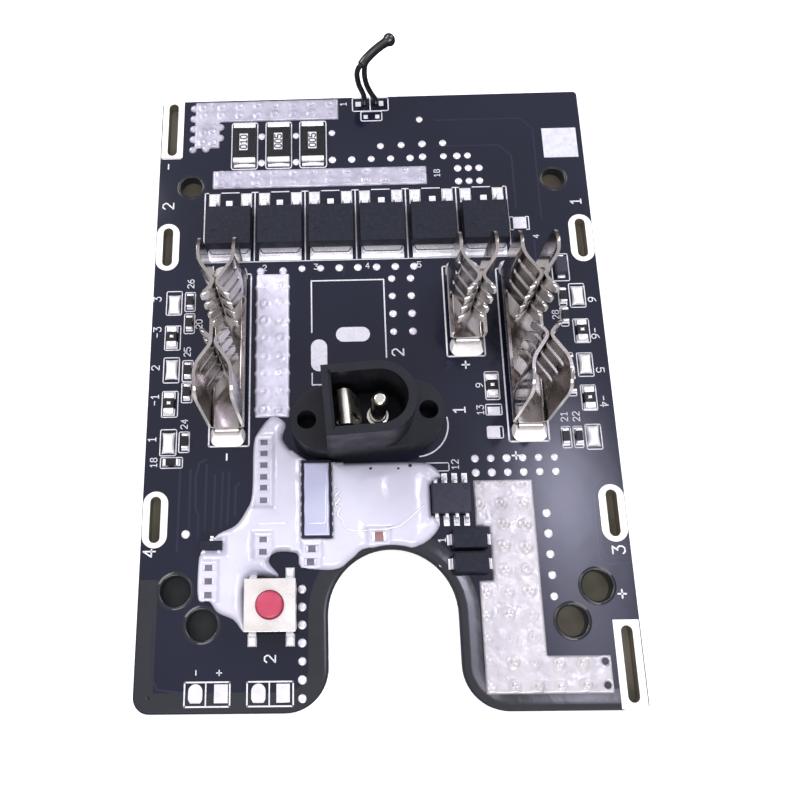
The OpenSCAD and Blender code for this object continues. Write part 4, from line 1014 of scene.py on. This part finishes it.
# ---- tinned pads and write-on block
pads = Flat(TOP + 0.05)
for box in ((-5.45, 4.1, -0.86, 6.2), (-8.83, -0.03, -6.66, 4.5),
            (-23.85, -41.7, -22.15, -39.3), (-16.3, -41.7, -14.6, -39.3)):
    pads.poly(rounded(*box, min(box[2] - box[0], box[3] - box[1]) / 2, 10))
for box in (
    (-20.75, -41.65, -19.1, -39.35), (-13.3, -41.65, -11.7, -39.35), (14.15, -6.5, 15.75, -5.4),
    (13.95, -9.5, 15.55, -8.1), (19.6, 20.45, 21.45, 22.25), (-1.95, 41.1, -1.15, 41.9),
    (1.5, 41.1, 2.15, 41.95), (-0.8, 38.95, -0.2, 39.6), (0.9, 38.95, 1.5, 39.6),
):
    pads.poly(rect(*box))
pads.lay("open_pads", SOLDER_FLAT, "tinned_copper")
block = Flat(TOP + 0.02)
block.poly(rect(24.85, 31.7, 29.75, 36.55))
block.lay("write_on_block", PLASTIC_WHITE, "tinned_copper")


# ---- solder on the parts
def pillows(name, places, mat, slot, n=10):
    """Cushions of solder, also used as white glints painted on chip bodies: x, y, base height, width, length,
    thickness, waist, end dent.
    """
    verts, faces = [], []
    for x, y, z, w, l, t, waist, dent in places:
        start = len(verts)
        for i in range(n + 1):
            for j in range(n + 1):
                u, v = 2 * i / n - 1, 2 * j / n - 1
                u, v = math.sin(u * math.pi / 2), math.sin(v * math.pi / 2)
                px = x + u * w / 2 * (1 - waist * (1 - v * v))
                py = y + v * l / 2 * (1 - dent * (1 - u * u))
                pz = t * math.sqrt(max(0.0, (1 - abs(u) ** 4) * (1 - abs(v) ** 4)))
                verts.append((px, py, TOP + z + pz))
        for i in range(n):
            for j in range(n):
                a = start + i * (n + 1) + j
                faces.append((a, a + n + 1, a + n + 2, a + 1))
    return piece(name, verts, faces, mat, slot)


LINKS = [(-27.5, y) for y in (10, 0.6, -9.55)] + [(27.4, y) for y in (10.1, 0.3, -9.55)]
BALANCE = [(-27.6, 5.2), (-27.6, -4.2), (27.4, 5), (27.4, -4.45), (14.95, -2.5)]
links = [(x, y, 0.02, 1.72, 2.85, 0.5, 0.16, 0.06) for x, y in LINKS]
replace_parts(pillows("link_caps", links, WET, "tinned_copper"), "balance_links")
ends = [(x, y + dy, 0.05, 1.5, 0.85, 0.64, 0.12, -0.1) for x, y in BALANCE for dy in (-1.1, 1.1)]
# painted highlight: a white cushion on the middle of each balance resistor's dark body
body_glints = [(x, y, 0.55, 0.7, 0.55, 0.14, 0.3, 0.3) for x, y in BALANCE]
pillows("balance_fillets_and_glints", ends + body_glints, WET, "tinned_copper")
fillets = [(x + dx, 26.0, 0.08, 1.5, 1.95, 0.42, 0, 0) for x in TRANSISTORS for dx in (-2.28, 2.28)]
fillets += [(x, 16.75, 0.06, 5.8, 0.75, 0.2, 0, 0) for x in TRANSISTORS]
fillets += [(x, SHUNT_Y - 3.45, 0.06, 3.1, 0.55, 0.3, 0, 0) for x in SHUNTS]
SWITCH_FEET = ((-16.25, -34.35), (-11.65, -34.35), (-11.65, -26.45))
fillets += [(x, y, 0.05, 1.15, 1.5, 0.5, 0, 0) for x, y in SWITCH_FEET]
pillows("lead_fillets", fillets, WET, "tinned_copper")

# painted shade: a dark line on each tab near its front edge, turned up at its ends, and one at the foot of
# each shunt
TAB_LINE = ((-2.66, -3.2), (-2.58, -3.5), (-2.35, -3.72), (2.35, -3.72), (2.58, -3.5), (2.66, -3.2))
shade_lines = Flat(TAB_TOP + 0.03)
for x in TRANSISTORS:
    shade_lines.line([(x + u, TRANSISTOR_Y + v) for u, v in TAB_LINE], 0.13)
shade_lines.z = TOP + 0.34
for x in SHUNTS:
    shade_lines.line([(x - 1.5, SHUNT_Y - 3.28), (x + 1.5, SHUNT_Y - 3.28)], 0.14)
shade_lines.lay("painted_shade_lines", SHADE_AND_SPECKS, "tinned_copper")

# plain digits on a light field on each shunt
marks = Flat(SHUNT_TOP + 0.015)
prints = Flat(marks.z + 0.012)
for x, word in ((-18.3, "010"), (-13.3, "005"), (-8.35, "005")):
    marks.poly(rect(x - 0.6, 33.65, x + 0.6, 36.4))
    digits(prints, word, x, 35.02, 0.95, 90, 0.17)
marks.lay("shunt_marks", MARK, "ceramic")
prints.lay("shunt_digits", PRINT, "ceramic")


# ---- silicone beads and specks
def gel_bead(name, runs, r, mat):
    """Thin beads laid on the silicone, tapered at both ends."""
    verts, faces = [], []
    for run in runs:
        n = len(run)
        radii = [max(r * math.sin(math.pi * (i + 0.6) / (n + 0.2)) ** 0.4, 0.02) for i in range(n)]
        bead_v, bead_f = tube_mesh(run, radii, 8)
        faces += [tuple(i + len(verts) for i in f) for f in bead_f]
        verts += bead_v
    return piece(name, verts, faces, mat, "silicone")


def on_gel(points, z=1.17):
    """Curve that follows the swell of the silicone."""
    return spline([(x, y, TOP + z + 0.10 * fbm(x, y, 0.3, 9, 2)) for x, y in points], 5)


SQUIGGLE = (
    (-5.6, -15.6), (-5.98, -16.1), (-5.38, -16.45), (-5.88, -17.05), (-5.38, -17.45), (-5.9, -18.15),
    (-5.32, -18.65), (-5.68, -19.35), (-5.1, -20.1), (-4.76, -20.95), (-3.44, -21.4), (-1.86, -21.4),
)
RIGHT_ARC = ((0.42, -21.2), (1.82, -20.94), (3.26, -20.0), (4.36, -19.05), (5.2, -18.3))
LEFT_ARC = ((-15.7, -20.4), (-13.97, -20.32), (-11.9, -20.3))
# the silicone beads take the white of wet solder, brighter than the silicone: real beads with a painted
# highlight
gel_bead("gel_ridges", [on_gel(SQUIGGLE), on_gel(RIGHT_ARC, 1.13), on_gel(LEFT_ARC, 1.13)], 0.13, WET)
CREST = ((-7.1, -15.6), (-7.13, -18.0), (-7.17, -20.2), (-7.35, -20.48), (-8.2, -20.5), (-9.2, -20.5))
crest_z = CONTROLLER_TOP + 0.15
# the ridge on the film is likewise painted white as a highlight
gel_bead("film_ridge", [spline([(x, y, crest_z) for x, y in CREST], 5)], 0.075, WET)
SPECKS = ((2.16, -13.66), (3.67, -13.27), (-1.33, -13.6))
domes("gel_specks", SPECKS, SHADE_AND_SPECKS, "tinned_copper", 0.22, 0.06, TOP + 1.05)


# ---- rib of the jack's spring
def jack_at(u, v, z):
    """A place given in the jack's own directions."""
    c, s = math.cos(JACK[2]), math.sin(JACK[2])
    return (JACK[0] + u * c - v * s, JACK[1] + u * s + v * c, TOP + z)


RIB = ((-2.32, -0.75, 9.0), (-2.0, -0.78, 8.2), (-1.55, -0.8, 6.7), (-1.1, -0.8, 5.2))
tube("contact_rib", [jack_at(*q) for q in RIB], [0.12, 0.3, 0.3, 0.1], BRIGHT, "nickel_plate", 12)

# ---- studio
def staged(name, outlines, z, mat):
    """Flat card of the studio at height z, one face to each outline."""
    flat = Flat(z)
    for pts in outlines:
        flat.poly(pts)
    o = mesh_object(name, flat.v, flat.f, mat, False)
    return o


FLOOR = Mat("floor_paper", (0.93, 0.93, 0.95, 1), 0.9)
FLOOR.bump(300, 0.01)
FLOOR.p.inputs["Emission Color"].default_value = (1, 1, 1, 1)
FLOOR.p.inputs["Emission Strength"].default_value = 0.4
# painted shade for the underside of the board, with a faint painted glow
UNDER_BOARD_SHADE = Mat("painted_shade_grey", lin(104, 98, 88), 0.8)
UNDER_BOARD_SHADE.vary(90, lin(80, 84, 70)).bump(1200, 0.02)
UNDER_BOARD_SHADE.p.inputs["Emission Color"].default_value = lin(96, 88, 74)
UNDER_BOARD_SHADE.p.inputs["Emission Strength"].default_value = 0.25
HOLE_SHADE = Mat("painted_shade_deep", lin(24, 26, 26), 0.8)
HOLE_SHADE.vary(200, lin(34, 36, 36)).bump(1200, 0.02)

# the white floor, and painted shade: darker cards below the board, its tab slots and its front left holes;
# the grey card also glows faintly, which is painted light
floor = staged("studio_floor", [rect(-2000, -2000, 2000, 2000)], -1.02, FLOOR)
floor.visible_glossy = False
outline = [(x + nx * 1.2, y + ny * 1.2) for (x, y), (nx, ny) in rim_path]
outline += [(30.3, -41.5), (30.3, 42.3), (-30.3, 42.3), (-30.3, -27.0)]
staged("board_shade_card", [outline], -1.012, UNDER_BOARD_SHADE)
staged("slot_shade_card", [rect(-30.3, 33.0, -27.0, 42.6), rect(27.0, -42.5, 30.3, -32.3)], -0.03, UNDER_BOARD_SHADE)
staged("hole_shade_card", [rect(-28.6, -35.5, -19.4, -25.5)], -0.03, HOLE_SHADE)

world = bpy.data.worlds.new("studio")
bpy.context.scene.world = world
world.use_nodes = True
wt = world.node_tree
wt.nodes.clear()
join = wt.links.new
w_out = wt.nodes.new("ShaderNodeOutputWorld")
mix = wt.nodes.new("ShaderNodeMixShader")
path = wt.nodes.new("ShaderNodeLightPath")
white = wt.nodes.new("ShaderNodeBackground")
white.inputs["Color"].default_value = (1, 1, 1, 1)
white.inputs["Strength"].default_value = 1.0
room = wt.nodes.new("ShaderNodeBackground")
sky = wt.nodes.new("ShaderNodeTexCoord")
split = wt.nodes.new("ShaderNodeSeparateXYZ")
tone = wt.nodes.new("ShaderNodeValToRGB")
half = wt.nodes.new("ShaderNodeMapRange")
half.inputs["From Min"].default_value, half.inputs["From Max"].default_value = -1, 1
join(sky.outputs["Generated"], split.inputs["Vector"])
join(split.outputs["Z"], half.inputs["Value"])
join(half.outputs["Result"], tone.inputs["Fac"])
els = tone.color_ramp.elements
els[0].position, els[0].color = 0.0, (0.09, 0.075, 0.07, 1)
els[1].position, els[1].color = 1.0, (0.86, 0.86, 0.92, 1)
for pos, colour in ((0.5, (0.13, 0.10, 0.09)), (0.65, (0.24, 0.21, 0.20)), (0.8, (0.48, 0.47, 0.50)),
                    (0.9, (0.80, 0.80, 0.86))):
    els.new(pos).color = (*colour, 1)


def math_node(op, a, b=None):
    n = wt.nodes.new("ShaderNodeMath")
    n.operation = op
    for socket, v in zip(n.inputs, (a, b)):
        if isinstance(v, (int, float)):
            socket.default_value = v
        elif v is not None:
            join(v, socket)
    return n.outputs["Value"]


def glare(u, v, su, sv, power):
    """Soft patch of the sky round one direction, given by its X / Z and Y / Z."""
    z = math_node("MAXIMUM", split.outputs["Z"], 0.05)
    squares = []
    for axis, mid, spread in (("X", u, su), ("Y", v, sv)):
        off = math_node("SUBTRACT", math_node("DIVIDE", split.outputs[axis], z), mid)
        t = math_node("DIVIDE", off, spread)
        squares.append(math_node("MULTIPLY", t, t))
    fall = math_node("MULTIPLY", math_node("ADD", *squares), -1.0)
    return math_node("MULTIPLY", math_node("EXPONENT", fall), power)


# two bluish patches, mirrored in the lacquer of the right leg
patches = math_node("ADD", glare(0.258, 0.185, 0.045, 0.09, 17.0), glare(0.275, 0.03, 0.06, 0.08, 4.5))
glow = wt.nodes.new("ShaderNodeVectorMath")
glow.operation = "SCALE"
glow.inputs["Vector"].default_value = (0.79, 0.78, 1.0)
join(patches, glow.inputs["Scale"])
light_sum = wt.nodes.new("ShaderNodeVectorMath")
light_sum.operation = "ADD"
join(tone.outputs["Color"], light_sum.inputs[0])
join(glow.outputs["Vector"], light_sum.inputs[1])
join(light_sum.outputs["Vector"], room.inputs["Color"])
join(path.outputs["Is Camera Ray"], mix.inputs["Fac"])
join(room.outputs["Background"], mix.inputs[1])
join(white.outputs["Background"], mix.inputs[2])
join(mix.outputs["Shader"], w_out.inputs["Surface"])


def area(name, at, size, watts, colour):
    """Soft light aimed at the middle of the board; place and size in metres."""
    light = bpy.data.lights.new(name, "AREA")
    light.shape, light.size, light.size_y = "RECTANGLE", size[0], size[1]
    light.energy, light.color = watts, colour
    o = bpy.data.objects.new(name, light)
    bpy.context.scene.collection.objects.link(o)
    o.location = at
    o.rotation_euler = (-Vector(at)).to_track_quat("-Z", "Y").to_euler()


area("key", (-0.36, 0.30, 0.44), (0.34, 0.34), 2.0, (1.0, 0.99, 1.0))
area("back", (0.40, 0.34, 0.40), (0.30, 0.34), 1.3, (0.99, 0.99, 1.0))
area("front", (0.02, -0.42, 0.36), (0.40, 0.22), 1.7, (1.0, 0.98, 0.97))

# ---- camera
cam = bpy.data.cameras.new("camera")
cam_o = bpy.data.objects.new("camera", cam)
bpy.context.scene.collection.objects.link(cam_o)
cam.sensor_width = 36.0
PICTURE, FOCAL, CENTRE_X, CENTRE_Y = 800, 867.21, 317.87, 388.75  # pixels
cam.lens = FOCAL / PICTURE * cam.sensor_width
cam.shift_x, cam.shift_y = (PICTURE / 2 - CENTRE_X) / PICTURE, (CENTRE_Y - PICTURE / 2) / PICTURE
cam.clip_start, cam.clip_end = 0.005, 10
cam_o.location = (-5.115 * MM, -37.544 * MM, (109.158 + TOP) * MM)
cam_o.rotation_euler = (math.radians(17.798), math.radians(1.69), math.radians(-0.608))
bpy.context.scene.camera = cam_o

view = bpy.context.scene.view_settings
view.view_transform = "Standard"
